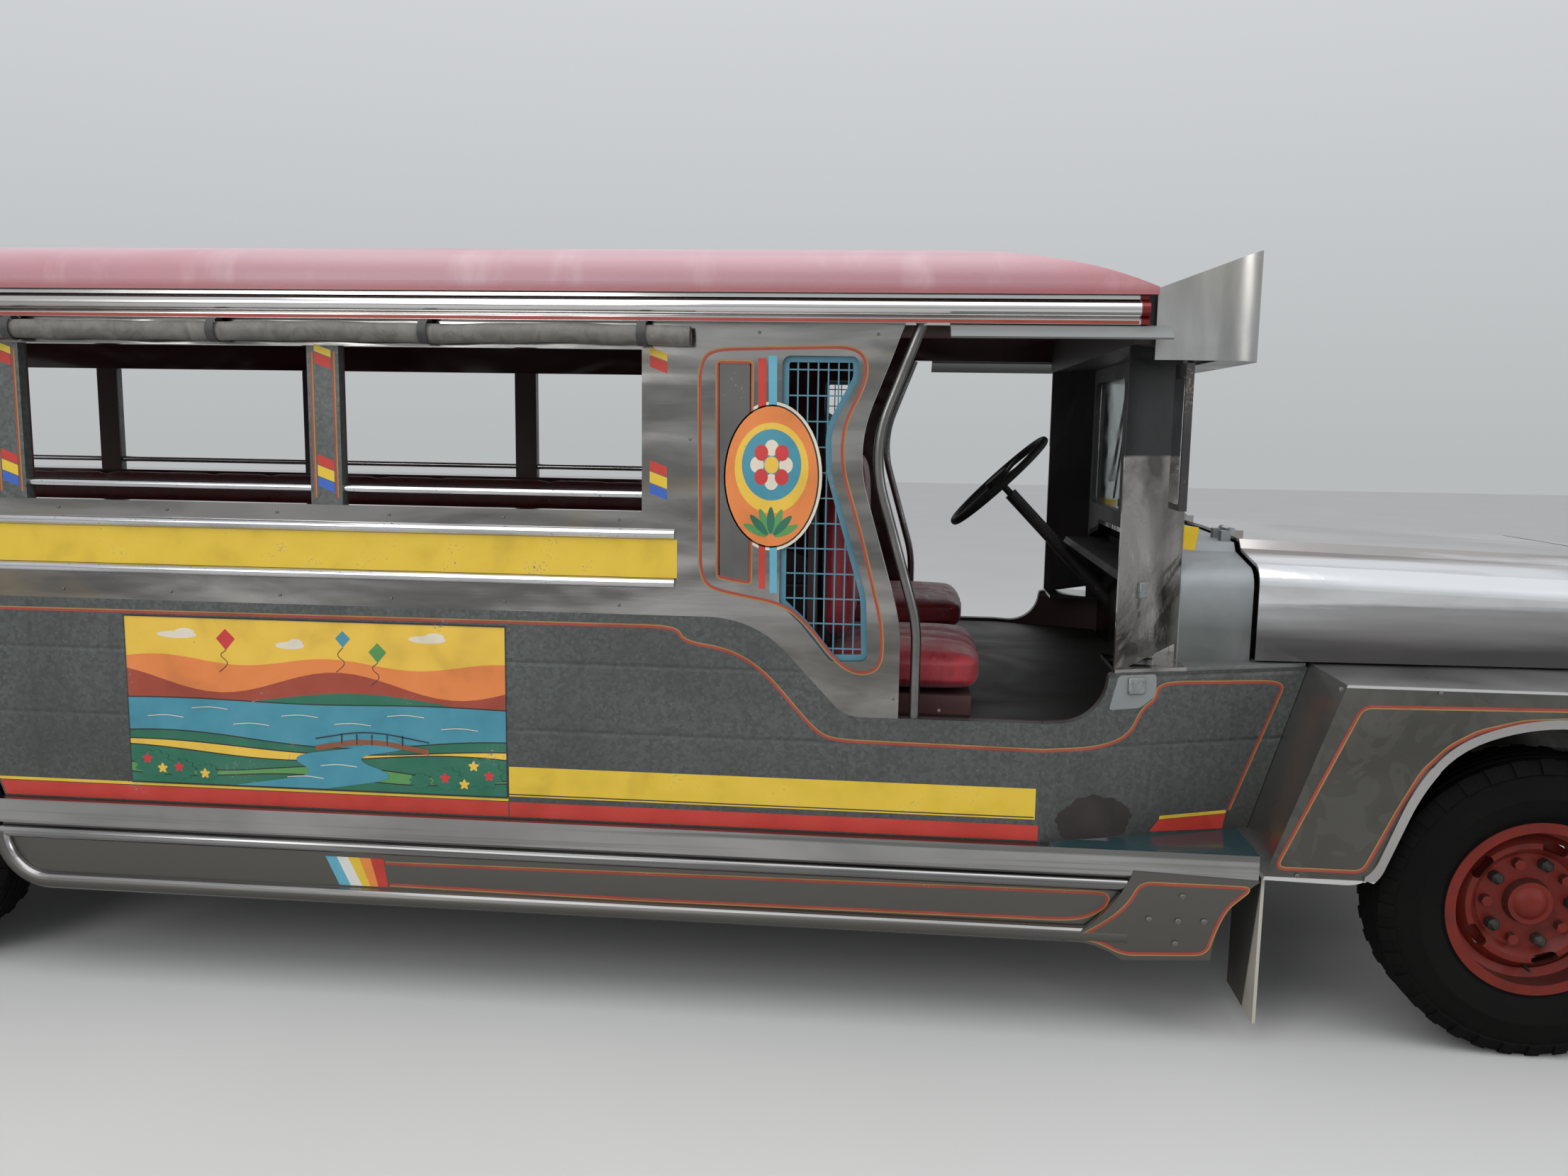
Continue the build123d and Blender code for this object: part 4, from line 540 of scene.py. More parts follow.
def cowl_zinc():
    """Dull zinc cowl, polished and dented quarter panels at the doorway, black posts above them, and painted
    shade on the quarter panels' inward faces.
    """
    side = Finish("cowl_zinc")
    cloud = side.span(side.noise(5.0, 7.0, distortion=0.3), 0.3, 0.7)
    patches = side.span(side.noise(4.5, 3.0, (1, 1, 0.6), 1.0), 0.38, 0.62)
    inward = side.span(side.times(side.facing()[1], side.calc("SIGN", side.y)), -0.1, -0.3)
    quarter = side.span(side.x, FRONT_X - QUARTER_FRONT, FRONT_X - QUARTER_FRONT - 0.006)
    post = side.span(side.z, POST_TOP, POST_TOP + 0.008)
    # Dark: black paint on the posts, painted shade on the quarter panels' inward faces
    dark = side.times(quarter, side.most(post, inward))
    low = side.blend(cloud, (0.10, 0.11, 0.105), (0.15, 0.16, 0.155))
    high = side.blend(cloud, (0.28, 0.30, 0.31), (0.37, 0.40, 0.41))
    side.base = side.blend(side.span(side.z, 1.02, 1.14), low, high)
    side.cover(side.blend(patches, (0.13, 0.12, 0.11), (0.42, 0.40, 0.38)), quarter)
    side.cover((0.012, 0.012, 0.013), dark)
    shine = side.most(side.calc("SUBTRACT", quarter, dark), 0.0)
    side.bump(side.noise(4.6, 2.5, (1, 1, 0.8), 1.0), 0.012)
    side.bump(side.noise(80.0, 3.0), 0.0005)
    return side.done((shine, 0.0, 1.0, 0.5, 0.16), metal=side.span(shine, 0.0, 1.0, 0.3, 1.0))


class JEEPNEY_OT_finishes(bpy.types.Operator):
    """Give every carried-over solid its procedural finish"""

    bl_idname = "jeepney.finishes"
    bl_label = "Finishes"

    def execute(self, context):
        tones = context.scene.jeepney_colours
        steel = sheet_steel("polished_steel", STEEL, inner=MAROON, low=0.95)
        nose = sheet_steel("nose_steel", (0.46, 0.45, 0.44), (0.08, 0.2), 0.004, (0.6, 1.0, 8.0),
                           low=0.3, warm_reflection=0.1, smudged=0.15)
        sign = sheet_steel("sign_steel", (0.36, 0.36, 0.35), (0.34, 0.5), 0.004, (2.5, 2.5, 0.8),
                           low=1.2, warm_reflection=0.1, smudged=0.15)
        # Floor plate toned near black: painted shade of the dark cabin
        plate = sheet_steel("floor_plate", (0.03, 0.029, 0.027), (0.5, 0.7), 0.002, low=0.7, warm_reflection=0)
        zinc = galvanised("galvanised_sides", ZINC, PRESSED, MAROON, [FRONT_X - TAPER_START])
        dull_black = paint("dull_black", (0.018, 0.018, 0.019), 0.5, (0.12, 0.10, 0.09))
        chassis = paint("chassis_black", (0.022, 0.02, 0.019), 0.6, (0.10, 0.045, 0.02), grime=0.9)
        cast = paint("cast_iron", (0.07, 0.062, 0.055), 0.6, (0.12, 0.05, 0.025), metal=0.4, grime=0.8)
        mesh = paint("wire_paint", tones.blue, 0.45, (0.2, 0.2, 0.2), grime=0.3)
        finishes = [
            (steel, "upper_sides window_headers"),
            (nose, "grille_shell front_bumper"),
            (sign, "signboard"),
            (plate, "floor"),
            (zinc, "lower_sides"),
            (galvanised("galvanised_posts", shade(ZINC, 1.15), (), MAROON), "window_posts"),
            (bright("chrome"), "side_rails"),
            (bright("dull_tube", (0.20, 0.195, 0.19), 0.24), "grab_tubes ceiling_rails"),
            (dull_black, "windshield_frame dashboard mirrors steering_column"),
            (chassis, "chassis_rails cross_members leaf_springs fuel_tank front_axle tie_rod"),
            (chassis, "knuckle_left knuckle_right"),
            (cast, "engine rear_axle exhaust"),
            (mesh, "wire_grilles"),
            (paint("seat_board", (0.05, 0.014, 0.014), 0.5, (0.12, 0.08, 0.05)), "seat_bases"),
            (paint("visor_paint", (0.15, 0.162, 0.158), 0.3, grime=0.3), "door_visors"),
            (rubber("steering_rubber", (0.012, 0.012, 0.012), 20.0, 0.2), "steering_wheel"),
            (clear("windshield_pane", (0.9, 0.95, 0.94)), "windshield_glass"),
            (fluted("headlamp_lens", (0.62, 0.64, 0.65), 90.0), "headlamps"),
            (fluted("tail_lens", (0.40, 0.008, 0.007), 110.0), "tail_lamps"),
            (wheel_paint(tones.wheel), " ".join(f"wheel_{name}" for name, _, _ in WHEELS)),
            (fender_steel((0.125, 0.122, 0.112)), "fenders rear_step"),
            (skirt_steel((0.36, 0.355, 0.35)), "skirts"),
            (roof_paint(tones.roof), "roof"),
            (tail_steel(STEEL), "rear_panel"),
            (fascia_bright(), "roof_fascia"),
            (cowl_zinc(), "cowl"),
            (hood_steel(), "hood"),
            (flap_rubber(), "mudflaps"),
        ]
        for material, nodes in finishes:
            for node in nodes.split():
                give(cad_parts[node], material)
        return {"FINISHED"}


# Modelling by hand: pick, shape in edit mode, apply, settle on a body


def give(piece, material):
    piece.data.materials.clear()
    piece.data.materials.append(material)


def only(*pieces):
    bpy.ops.object.select_all(action="DESELECT")
    for piece in pieces:
        piece.select_set(True)
    bpy.context.view_layer.objects.active = pieces[0]


def open_mesh(piece):
    """Edit mode with everything selected."""
    only(piece)
    bpy.ops.object.mode_set(mode="EDIT")
    bpy.ops.mesh.select_all(action="SELECT")


def close_mesh():
    bpy.ops.object.mode_set(mode="OBJECT")


def pick(piece, test, kind="FACE"):
    """Select the faces or edges whose middle and direction pass the test; leaves edit mode on."""
    bpy.ops.mesh.select_mode(type=kind)
    bpy.ops.mesh.select_all(action="DESELECT")
    bpy.ops.object.mode_set(mode="OBJECT")
    mesh = piece.data
    if kind == "FACE":
        for face in mesh.polygons:
            face.select = test(face.center, face.normal)
    else:
        for edge in mesh.edges:
            a, b = (mesh.vertices[number].co for number in edge.vertices)
            edge.select = test((a + b) / 2, b - a)
    bpy.ops.object.mode_set(mode="EDIT")


def cut(place, normal):
    bpy.ops.mesh.select_all(action="SELECT")
    bpy.ops.mesh.bisect(plane_co=place, plane_no=normal)


def finish_with(piece, kind, **settings):
    """Add a modifier and apply it."""
    only(piece)
    modifier = piece.modifiers.new(kind.title(), kind)
    for key, value in settings.items():
        setattr(modifier, key, value)
    bpy.ops.object.modifier_apply(modifier=modifier.name)
    return piece


def settle(piece, name, body, material=None, angle=35.0):
    """Bake the piece's place into its mesh, shade it, name it and let it ride."""
    only(piece)
    bpy.ops.object.transform_apply(location=True, rotation=True, scale=True)
    bpy.ops.object.shade_smooth_by_angle(angle=math.radians(angle))
    piece.name = name
    piece.data.name = name
    if material:
        give(piece, material)
    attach(piece, body)


def joined(pieces):
    only(*pieces)
    if len(pieces) > 1:
        bpy.ops.object.join()
    return pieces[0]


def twin(piece):
    """A copy with its own mesh."""
    copy = piece.copy()
    copy.data = piece.data.copy()
    bpy.context.collection.objects.link(copy)
    return copy


def block(size, place, bevel, steps=1, turn=(0, 0, 0)):
    """A box with rounded edges."""
    bpy.ops.mesh.primitive_cube_add(size=1, location=place, scale=size)
    piece = bpy.context.object
    bpy.ops.object.transform_apply(location=False, rotation=False, scale=True)
    finish_with(piece, "BEVEL", width=bevel, segments=steps)
    piece.rotation_euler = turn
    return piece


def cylinder(corners, radius, depth, place=(0, 0, 0), turn=(0, 0, 0), ends="NGON"):
    bpy.ops.mesh.primitive_cylinder_add(vertices=corners, radius=radius, depth=depth, location=place,
                                        rotation=turn, end_fill_type=ends)
    return bpy.context.object


def hoop(radius, thick, segments, corners, place):
    """A round rim that looks along the vehicle."""
    bpy.ops.mesh.primitive_torus_add(major_radius=radius, minor_radius=thick, major_segments=segments,
                                     minor_segments=corners, location=place, rotation=AHEAD)
    return bpy.context.object


def step_in(piece, *steps):
    """Inset the end face and move it, once for each step."""
    open_mesh(piece)
    pick(piece, lambda centre, normal: normal.z > 0.9)
    for inset, move in steps:
        bpy.ops.mesh.inset(thickness=inset)
        bpy.ops.transform.translate(value=move)
    close_mesh()


# Paint films: flat outlines, laid on the body's sides. A place is (behind the front axle, up)


def flat_shape(outlines):
    """Closed outlines in the sheet's own plane, filled and made a mesh."""
    curve = bpy.data.curves.new("outline", "CURVE")
    curve.dimensions = "2D"
    curve.fill_mode = "BOTH"
    for outline in outlines:
        spline = curve.splines.new("POLY")
        spline.points.add(len(outline) - 1)
        for point, (u, v) in zip(spline.points, outline):
            point.co = (u, v, 0, 1)
        spline.use_cyclic_u = True
    piece = bpy.data.objects.new("outline", curve)
    bpy.context.collection.objects.link(piece)
    only(piece)
    bpy.ops.object.convert(target="MESH")
    return bpy.context.object


def side_face(u):
    """How far out the lower side panel lies at this distance behind the front axle."""
    if u >= TAPER_START:
        return WALL
    return WALL - (TAPER_START - u) / (TAPER_START - TAPER_END) * (WALL - TAPER_FACE)


def on_side(piece, surface, layer, side):
    """Fold a flat shape at the taper, then lay it on a side of the body."""
    tapered = callable(surface)
    if tapered:
        open_mesh(piece)
        cut((TAPER_START, 0, 0), (1, 0, 0))
        close_mesh()
    for point in piece.data.vertices:
        u, v = point.co.x, point.co.y
        out = surface(u) if tapered else surface
        point.co = (FRONT_X - u, side * (out + layer * FILM), v)
    if side < 0:
        open_mesh(piece)
        bpy.ops.mesh.flip_normals()
        close_mesh()
    return piece


def films(shapes):
    """Paint both sides of the body. Each shape: surface, layer, paint, then its outlines."""
    made = []
    for surface, layer, material, *outlines in shapes:
        for side in (-1, 1):
            piece = on_side(flat_shape(outlines), surface, layer, side)
            piece.data.materials.append(material)
            made.append(piece)
    return made


def painted(shapes, materials, name):
    """Join the films into one piece with one slot per paint."""
    piece = joined(films(shapes))
    names = [place.material.name for place in piece.material_slots]
    wanted = [material.name for material in materials]
    order = [wanted.index(name) for name in names]
    numbers = [order[face.material_index] for face in piece.data.polygons]
    piece.data.materials.clear()
    for material in materials:
        piece.data.materials.append(material)
    for face, number in zip(piece.data.polygons, numbers):
        face.material_index = number
    settle(piece, name, "body")


def softened(points, radius, closed=False, steps=5):
    """The same line with its corners rounded."""
    count = len(points)
    line = []
    for number in range(count):
        here = Vector(points[number])
        if not closed and number in (0, count - 1):
            line.append(tuple(here))
            continue
        before, after = Vector(points[number - 1]), Vector(points[(number + 1) % count])
        reach_in = min(radius, (before - here).length * 0.48)
        reach_out = min(radius, (after - here).length * 0.48)
        start = here + (before - here).normalized() * reach_in
        end = here + (after - here).normalized() * reach_out
        for step in range(steps + 1):
            t = step / steps
            line.append(tuple(start * (1 - t) ** 2 + here * (2 * t * (1 - t)) + end * t**2))
    return line


def band(points, inner, outer, closed=False):
    """A ribbon beside a line, from one offset to the other: one outline, or two when it closes on itself."""
    count = len(points)
    edges = ([], [])
    for number in range(count):
        before = Vector(points[number - 1] if closed or number else points[number])
        after = Vector(points[(number + 1) % count] if closed or number < count - 1 else points[number])
        here = Vector(points[number])
        along = (after - before).normalized()
        across = Vector((-along.y, along.x))
        for edge, offset in zip(edges, (inner, outer)):
            edge.append(tuple(here + across * offset))
    return list(edges) if closed else [edges[0] + edges[1][::-1]]


def ring(centre, wide, high, count=48, wave=0.0, lobes=0):
    """An oval, with lobes where a wave is given."""
    outline = []
    for number in range(count):
        turn = math.tau * number / count
        reach = 1 + wave * math.sin(lobes * turn)
        outline.append((centre[0] + wide * reach * math.cos(turn),
                        centre[1] + high * reach * math.sin(turn)))
    return outline


def oblong(u0, u1, v0, v1):
    return [(u0, v0), (u1, v0), (u1, v1), (u0, v1)]


class JEEPNEY_OT_fender_sheets(bpy.types.Operator):
    """Round the shoulders and the low rear corner of the front arches, where the edge is rolled by hand"""

    bl_idname = "jeepney.fender_sheets"
    bl_label = "Fender sheets"

    def execute(self, context):
        sheet = bpy.data.objects.new("fender_sheets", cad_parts["fenders"].data.copy())
        context.collection.objects.link(sheet)
        open_mesh(sheet)
        bpy.ops.mesh.remove_doubles(threshold=0.00002)
        close_mesh()
        bpy.ops.mesh.customdata_custom_splitnormals_clear()
        # Corners of the rolled edge: place, direction before it and after it, reach of the bend
        corners = [
            ((0.310, 0.750), (0.774, -0.633), (0.346, -0.938), 0.13),
            ((0.424, 0.440), (0.346, -0.938), (1.0, 0.019), 0.05),
            ((-0.310, 0.750), (-0.774, -0.633), (-0.474, -0.881), 0.13),
        ]
        for corner, before, after, reach in corners:
            self.round_off(sheet, Vector(corner), Vector(before), Vector(after), reach)
        settle(sheet, "fender_sheets", "body", angle=30)
        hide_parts("fenders")
        return {"FINISHED"}

    def round_off(self, sheet, corner, before, after, reach):
        """Cut the sheet across the corner in steps, then draw its outer plate in along a parabola."""
        along = (before + after).normalized()
        inward = (after - before).normalized()
        steep = math.tan(before.angle(after) / 2)
        steps = 14
        fade = 0.05
        outer_plate = HALF_WIDTH - 0.011
        open_mesh(sheet)
        for step in range(steps + 1):
            spot = corner + along * reach * (2 * step / steps - 1)
            cut((FRONT_X - spot.x, 0, spot.y), (-along.x, 0, along.y))
        close_mesh()
        for point in sheet.data.vertices:
            away = Vector((FRONT_X - point.co.x, point.co.z)) - corner
            left = reach - abs(away.dot(along))
            near = max(0.0, min(1.0, 2 - abs(away.dot(inward)) / fade))
            if left > 0 and abs(point.co.y) > outer_plate:
                move = inward * (near * steep * left**2 / (2 * reach))
                point.co += Vector((-move.x, 0, move.y))


class JEEPNEY_OT_pinstripes(bpy.types.Operator):
    """Paint the double pinstripes that frame each panel of the body's sides"""

    bl_idname = "jeepney.pinstripes"
    bl_label = "Pinstripes"

    def execute(self, context):
        tones = context.scene.jeepney_colours
        width = context.scene.jeepney_sizes.pinstripe
        orange = plain_paint("stripe_orange", tones.orange)
        gold = plain_paint("stripe_gold", tones.gold)
        # Each line: surface, outer colour's side of the line, closed, corner radius, places
        lines = [
            (side_face, 1, False, 0.07, [
                (BODY_REAR - 0.02, 1.020), (2.29, 1.028), (2.15, 1.028), (2.135, 0.99), (2.02, 0.975),
                (1.93, 0.925), (1.79, 0.765), (1.74, 0.749), (1.08, 0.742), (1.0, 0.77), (0.97, 0.84),
                (0.935, 0.86), (0.93, 0.905), (0.577, 0.895), (0.60, 0.84), (0.715, 0.555)]),
            (WALL, 1, True, 0.05, [
                (2.10, 1.682), (2.07, 1.722), (1.72, 1.732), (1.683, 1.70), (1.687, 1.64), (1.738, 1.54),
                (1.74, 1.44), (1.69, 1.276), (1.63, 1.04), (1.63, 0.935), (1.69, 0.915), (1.75, 0.95),
                (1.82, 1.04), (1.88, 1.09), (2.07, 1.125), (2.095, 1.165)]),
            (WALL, 1, True, 0.012, [(2.055, 1.692), (1.966, 1.692), (1.964, 1.141), (2.05, 1.155)]),
            (SKIRT, 1, False, 0.04, [
                (2.93, 0.371), (2.25, 0.377), (1.045, 0.387), (1.05, 0.35), (1.10, 0.317), (1.16, 0.309),
                (2.25, 0.303), (2.92, 0.308)]),
            (PLATE, 1, True, 0.03, [
                (0.975, 0.425), (0.70, 0.425), (0.765, 0.365), (0.79, 0.30), (0.805, 0.245), (1.01, 0.234),
                (1.07, 0.264), (1.125, 0.272), (1.045, 0.325), (1.0, 0.37)]),
            (HALF_WIDTH, -1, True, 0.022, [
                (0.474, 0.887), (0.0, 0.895), (-0.43, 0.893), (-0.54, 0.60), (-0.42, 0.60), (-0.34, 0.726),
                (-0.285, 0.798), (-0.215, 0.842), (-0.105, 0.868), (0.0, 0.876), (0.105, 0.868),
                (0.205, 0.840), (0.270, 0.800), (0.326, 0.738), (0.375, 0.640), (0.446, 0.478),
                (0.650, 0.478)]),
        ]
        shapes = []
        for surface, turn, closed, radius, places in lines:
            path = softened(places, radius, closed)
            shapes.append((surface, 1, orange, *band(path, 0.0, turn * width, closed)))
            shapes.append((surface, 1, gold, *band(path, -turn * width * 0.5, 0.0, closed)))
        # Upright lines on both edges of each window post, and the line along the fascia
        inset, fine, post_low, post_high = 0.013, 0.004, 1.335, 1.705
        for start in POST_EDGES:
            for u in (start + inset, min(start + POST_WIDTH, BODY_REAR) - inset):
                path = [(u, post_low), (u, post_high)]
                shapes.append((WALL, 1, orange, *band(path, -fine, 0.0)))
                shapes.append((WALL, 1, gold, *band(path, 0.0, fine)))
        lip = [(1.05, 1.790), (BODY_REAR - 0.01, 1.790)]
        shapes.append((WALL + 0.034, 1, orange, *band(lip, -fine, fine)))
        painted(shapes, [orange, gold], "pinstripes")
        return {"FINISHED"}


class JEEPNEY_OT_bands(bpy.types.Operator):
    """Paint the bands, the blank route board and plate, the skirt's slanted stripes and the flags"""

    bl_idname = "jeepney.bands"
    bl_label = "Bands and plates"

    def execute(self, context):
        tones = context.scene.jeepney_colours
        red = plain_paint("band_red", tones.red)
        yellow = plain_paint("band_yellow", tones.yellow)
        black = plain_paint("band_black", (0.02, 0.02, 0.02))
        white = plain_paint("band_white", (0.62, 0.62, 0.58))
        pale_blue = plain_paint("band_pale_blue", (0.10, 0.35, 0.46))
        orange = plain_paint("band_orange", (0.68, 0.22, 0.04))
        blue = plain_paint("band_blue", (0.03, 0.10, 0.42))
        grey = plain_paint("band_grey", (0.085, 0.085, 0.08))
        corner = plain_paint("corner_plate", (0.20, 0.215, 0.215))
        stain = paint("soot", (0.020, 0.015, 0.014), 0.7, grime=0.35)
        rear = BODY_REAR - 0.004
        board_end, band_end = 2.594, 2.597
        skirt_low, skirt_high = 0.303, 0.381
        # Under the pressed line: the yellow and red bands, up to the rear arch and behind it
        shapes = [
            (side_face, 1, yellow, oblong(1.237, board_end, 0.563, 0.643)),
            (side_face, 2, black, oblong(1.24, board_end, 0.567, 0.570)),
            (side_face, 1, red, oblong(1.228, board_end, 0.508, 0.548)),
        ]
        for material, low, high in ((red, 0.508, 0.548), (yellow, 0.550, 0.558)):
            for end, way in ((band_end, -1), (rear, 1)):
                arch = [(WHEELBASE + way * math.sqrt(ARCH_RADIUS**2 - (level - TYRE_RADIUS) ** 2), level)
                        for level in (high, (low + high) / 2, low)]
                shapes.append((side_face, 1, material, [(end, low), (end, high), *arch]))
        shapes += [
            (side_face, 1, red, [(0.932, 0.512), (0.908, 0.542), (0.724, 0.546), (0.731, 0.506)]),
            (side_face, 1, yellow, [(0.908, 0.543), (0.906, 0.552), (0.722, 0.556), (0.724, 0.547)]),
            (WALL, 1, yellow, oblong(WINDOW_START - 0.09, rear, 1.151, 1.248)),
            (WALL, 1, black, oblong(WINDOW_START - 0.088, rear, 1.146, 1.151)),
        ]
        # Slanted stripes on the skirt: paint, top edge from and to, bottom edge from and to
        slants = [
            (pale_blue, 3.095, 3.064, 3.058, 3.027),
            (white, 3.064, 3.033, 3.027, 2.995),
            (yellow, 3.033, 3.002, 2.995, 2.973),
            (orange, 3.002, 2.971, 2.973, 2.951),
            (red, 2.971, 2.935, 2.951, 2.924),
        ]
        for material, top0, top1, low0, low1 in slants:
            stripe = [(low0, skirt_low), (low1, skirt_low), (top1, skirt_high), (top0, skirt_high)]
            shapes.append((SKIRT, 1, material, stripe))
        # Slanted flags on the posts: paint, lowest and highest of the near edge
        flags = [(yellow, 1.690, 1.708), (red, 1.660, 1.688), (red, 1.405, 1.430), (yellow, 1.375, 1.403),
                 (blue, 1.348, 1.373)]
        rise = 0.016
        for near in [edge + 0.020 for edge in POST_EDGES] + [WINDOW_START - 0.064]:
            far = min(near + 0.044, BODY_REAR - 0.018)
            for material, low, high in flags:
                flag = [(near, low), (far, low + rise), (far, high + rise), (near, high)]
                shapes.append((WALL, 1, material, flag))
        plate = [(1.036, 0.926), (0.936, 0.926), (0.934, 0.872), (0.948, 0.860), (0.976, 0.840),
                 (1.058, 0.838)]
        # Soot over the ledge: a ragged round stain, cut off along the ledge
        blot = [(1.084 + (0.098 + 0.004 * math.sin(7 * t) + 0.003 * math.sin(19 * t)) * math.cos(t),
                 0.552 + (0.064 + 0.003 * math.sin(5 * t + 1) + 0.003 * math.sin(13 * t)) * math.sin(t))
                for t in (math.tau * step / 96 for step in range(96))]
        # Grey panel and upright bars beside the wire panel, plate at the doorway's lower corner, soot
        shapes += [
            (WALL, 1, grey, [(1.970, 1.149), (2.046, 1.162), (2.050, 1.686), (1.970, 1.686)]),
            (WALL, 1, red, [(1.928, 1.13), (1.944, 1.13), (1.953, 1.70), (1.932, 1.70)]),
            (WALL, 1, pale_blue, [(1.898, 1.12), (1.916, 1.12), (1.927, 1.706), (1.906, 1.706)]),
            (side_face, 0.5, corner, softened(plate, 0.01, True)),
            (side_face, 1, stain, [(u, max(v, 0.506)) for u, v in blot]),
        ]
        paints = [red, yellow, black, white, pale_blue, orange, blue, grey, corner, stain]
        painted(shapes, paints, "bands_and_plates")
        return {"FINISHED"}


class JEEPNEY_OT_panels(bpy.types.Operator):
    """Paint the generic landscape on the lower side and the generic rosette in the oval beside the wires"""

    bl_idname = "jeepney.panels"
    bl_label = "Painted panels"

    def execute(self, context):
        tones = {
            "sky": (0.72, 0.46, 0.05),
            "dusk": (0.68, 0.20, 0.045),
            "far": (0.30, 0.045, 0.02),
            "water": (0.045, 0.24, 0.32),
            "leaf": (0.012, 0.13, 0.075),
            "grass": (0.08, 0.26, 0.07),
            "wood": (0.22, 0.07, 0.03),
            "cream": (0.66, 0.60, 0.48),
            "ink": (0.016, 0.014, 0.012),
            "bloom": (0.52, 0.03, 0.03),
        }
        paints = {name: plain_paint(f"panel_{name}", tone) for name, tone in tones.items()}
        shapes = [(surface, layer * 0.25, paints[tone], *outlines)
                  for surface, drawing in ((side_face, self.landscape()), (WALL, self.rosette()))
                  for tone, layer, *outlines in drawing]
        painted(shapes, list(paints.values()), "painted_panels")
        return {"FINISHED"}

    def landscape(self):
        """Hills, terraces, a winding stream, clouds, kites, a footbridge, bushes and blooms in a frame.
        Each shape: paint, layer, outlines. A share runs from the rear end of the panel to its front end."""
        left, right, low, high = 3.635, 2.600, 0.561, 1.011
        wide = left - right
        line, fine = 0.0016, 0.001

        def across(share):
            return left - share * wide

        def wave(base, rise, turns, phase, steps=28):
            return [(across(n / steps), base + rise * math.sin(phase + turns * math.tau * n / steps))
                    for n in range(steps + 1)]

        def below(edge):
            return edge + [(edge[-1][0], low), (edge[0][0], low)]

        shapes = [
            ("sky", 1, oblong(right, left, low, high)),
            ("dusk", 2, below(wave(0.900, 0.012, 2.2, 0.4))),
            ("far", 3, below(wave(0.845, 0.032, 1.6, 2.2))),
            ("leaf", 4, below(wave(0.800, 0.022, 1.1, 3.6))),
        ]
        terraces = [("water", 0.792, 0.003, 1.5, 0.2), ("leaf", 0.690, 0.016, 1.1, 0.9),
                    ("sky", 0.668, 0.012, 1.0, 1.3), ("leaf", 0.650, 0.014, 1.1, 1.8),
                    ("grass", 0.612, 0.012, 1.4, 2.9), ("leaf", 0.590, 0.008, 1.6, 3.4)]
        for number, (tone, *form) in enumerate(terraces):
            edge = wave(*form)
            shapes.append((tone, 5 + 2 * number, below(edge)))
            shapes.append(("ink", 6 + 2 * number, *band(edge, -line, line)))
        stream = softened([(across(0.66), 0.705), (across(0.70), 0.680), (across(0.50), 0.650),
                           (across(0.62), 0.600), (across(0.40), low + 0.001)], 0.09, steps=8)
        banks = [[], []]
        for number, (u, v) in enumerate(stream):
            half = 0.050 + 0.075 * number / (len(stream) - 1)
            banks[0].append((min(u + half, left), v))
            banks[1].append((max(u - half, right), v))
        shapes.append(("water", 20, banks[0] + banks[1][::-1]))
        ripples = [(0.10, 0.742), (0.22, 0.768), (0.33, 0.728), (0.46, 0.755), (0.60, 0.738), (0.74, 0.765),
                   (0.88, 0.735), (0.47, 0.590), (0.56, 0.625)]
        for share, level in ripples:
            u = across(share)
            ripple = softened([(u + 0.05, level), (u, level + 0.006), (u - 0.05, level)], 0.03)
            shapes.append(("cream", 21, *band(ripple, -fine, fine)))
        for share, level, size in ((0.14, 0.965, 0.055), (0.44, 0.945, 0.04), (0.80, 0.972, 0.05)):
            u = across(share)
            shapes.append(("cream", 3, ring((u, level), size, 0.010)))
            shapes.append(("cream", 4, ring((u - size * 0.4, level + 0.008), size * 0.5, 0.010)))
        kites = ((0.27, 0.958, 0.026, "bloom"), (0.58, 0.968, 0.020, "water"), (0.67, 0.935, 0.024, "grass"))
        for share, level, size, tone in kites:
            u = across(share)
            foot = level - size * 1.2
            shapes.append((tone, 5, [(u - size, level), (u, foot), (u + size, level), (u, level + size)]))
            tail = [(u, foot), (u + 0.02, level - 0.045), (u - 0.01, level - 0.065), (u + 0.02, level - 0.09)]
            shapes.append(("ink", 5, *band(softened(tail, 0.02), -fine, fine)))
        deck = softened([(across(0.50), 0.672), (across(0.64), 0.700), (across(0.80), 0.672)], 0.08, steps=10)
        shapes.append(("wood", 22, *band(deck, -0.007, 0.007)))
        shapes.append(("ink", 23, *band([(u, v + 0.026) for u, v in deck], -0.0015, 0.0015)))
        for share in (0.57, 0.61, 0.65, 0.69, 0.73):
            u = across(share)
            shapes.append(("ink", 23, oblong(u - 0.0015, u + 0.0015, 0.686, 0.714)))
        bushes = [(0.060, 0.612, 0.050), (0.135, 0.598, 0.038), (0.205, 0.594, 0.030), (0.935, 0.622, 0.055),
                  (0.845, 0.602, 0.040), (0.775, 0.594, 0.028)]
        for number, (share, level, size) in enumerate(bushes):
            bush = ring((across(share), level), size, size * 0.72, 66, 0.12, 11)
            shapes.append(("leaf", 24 + 0.3 * number, bush))
        blooms = ((0.045, 0.625, "bloom"), (0.085, 0.600, "sky"), (0.13, 0.605, "bloom"),
                  (0.20, 0.590, "sky"), (0.84, 0.605, "bloom"), (0.89, 0.590, "sky"),
                  (0.915, 0.640, "sky"), (0.955, 0.615, "bloom"))
        for share, level, tone in blooms:
            shapes.append((tone, 26, ring((across(share), level), 0.011, 0.011, 40, 0.3, 5)))
        shapes.append(("ink", 27, *band(oblong(right, left, low, high), 0.0, -0.004, True)))
        return shapes

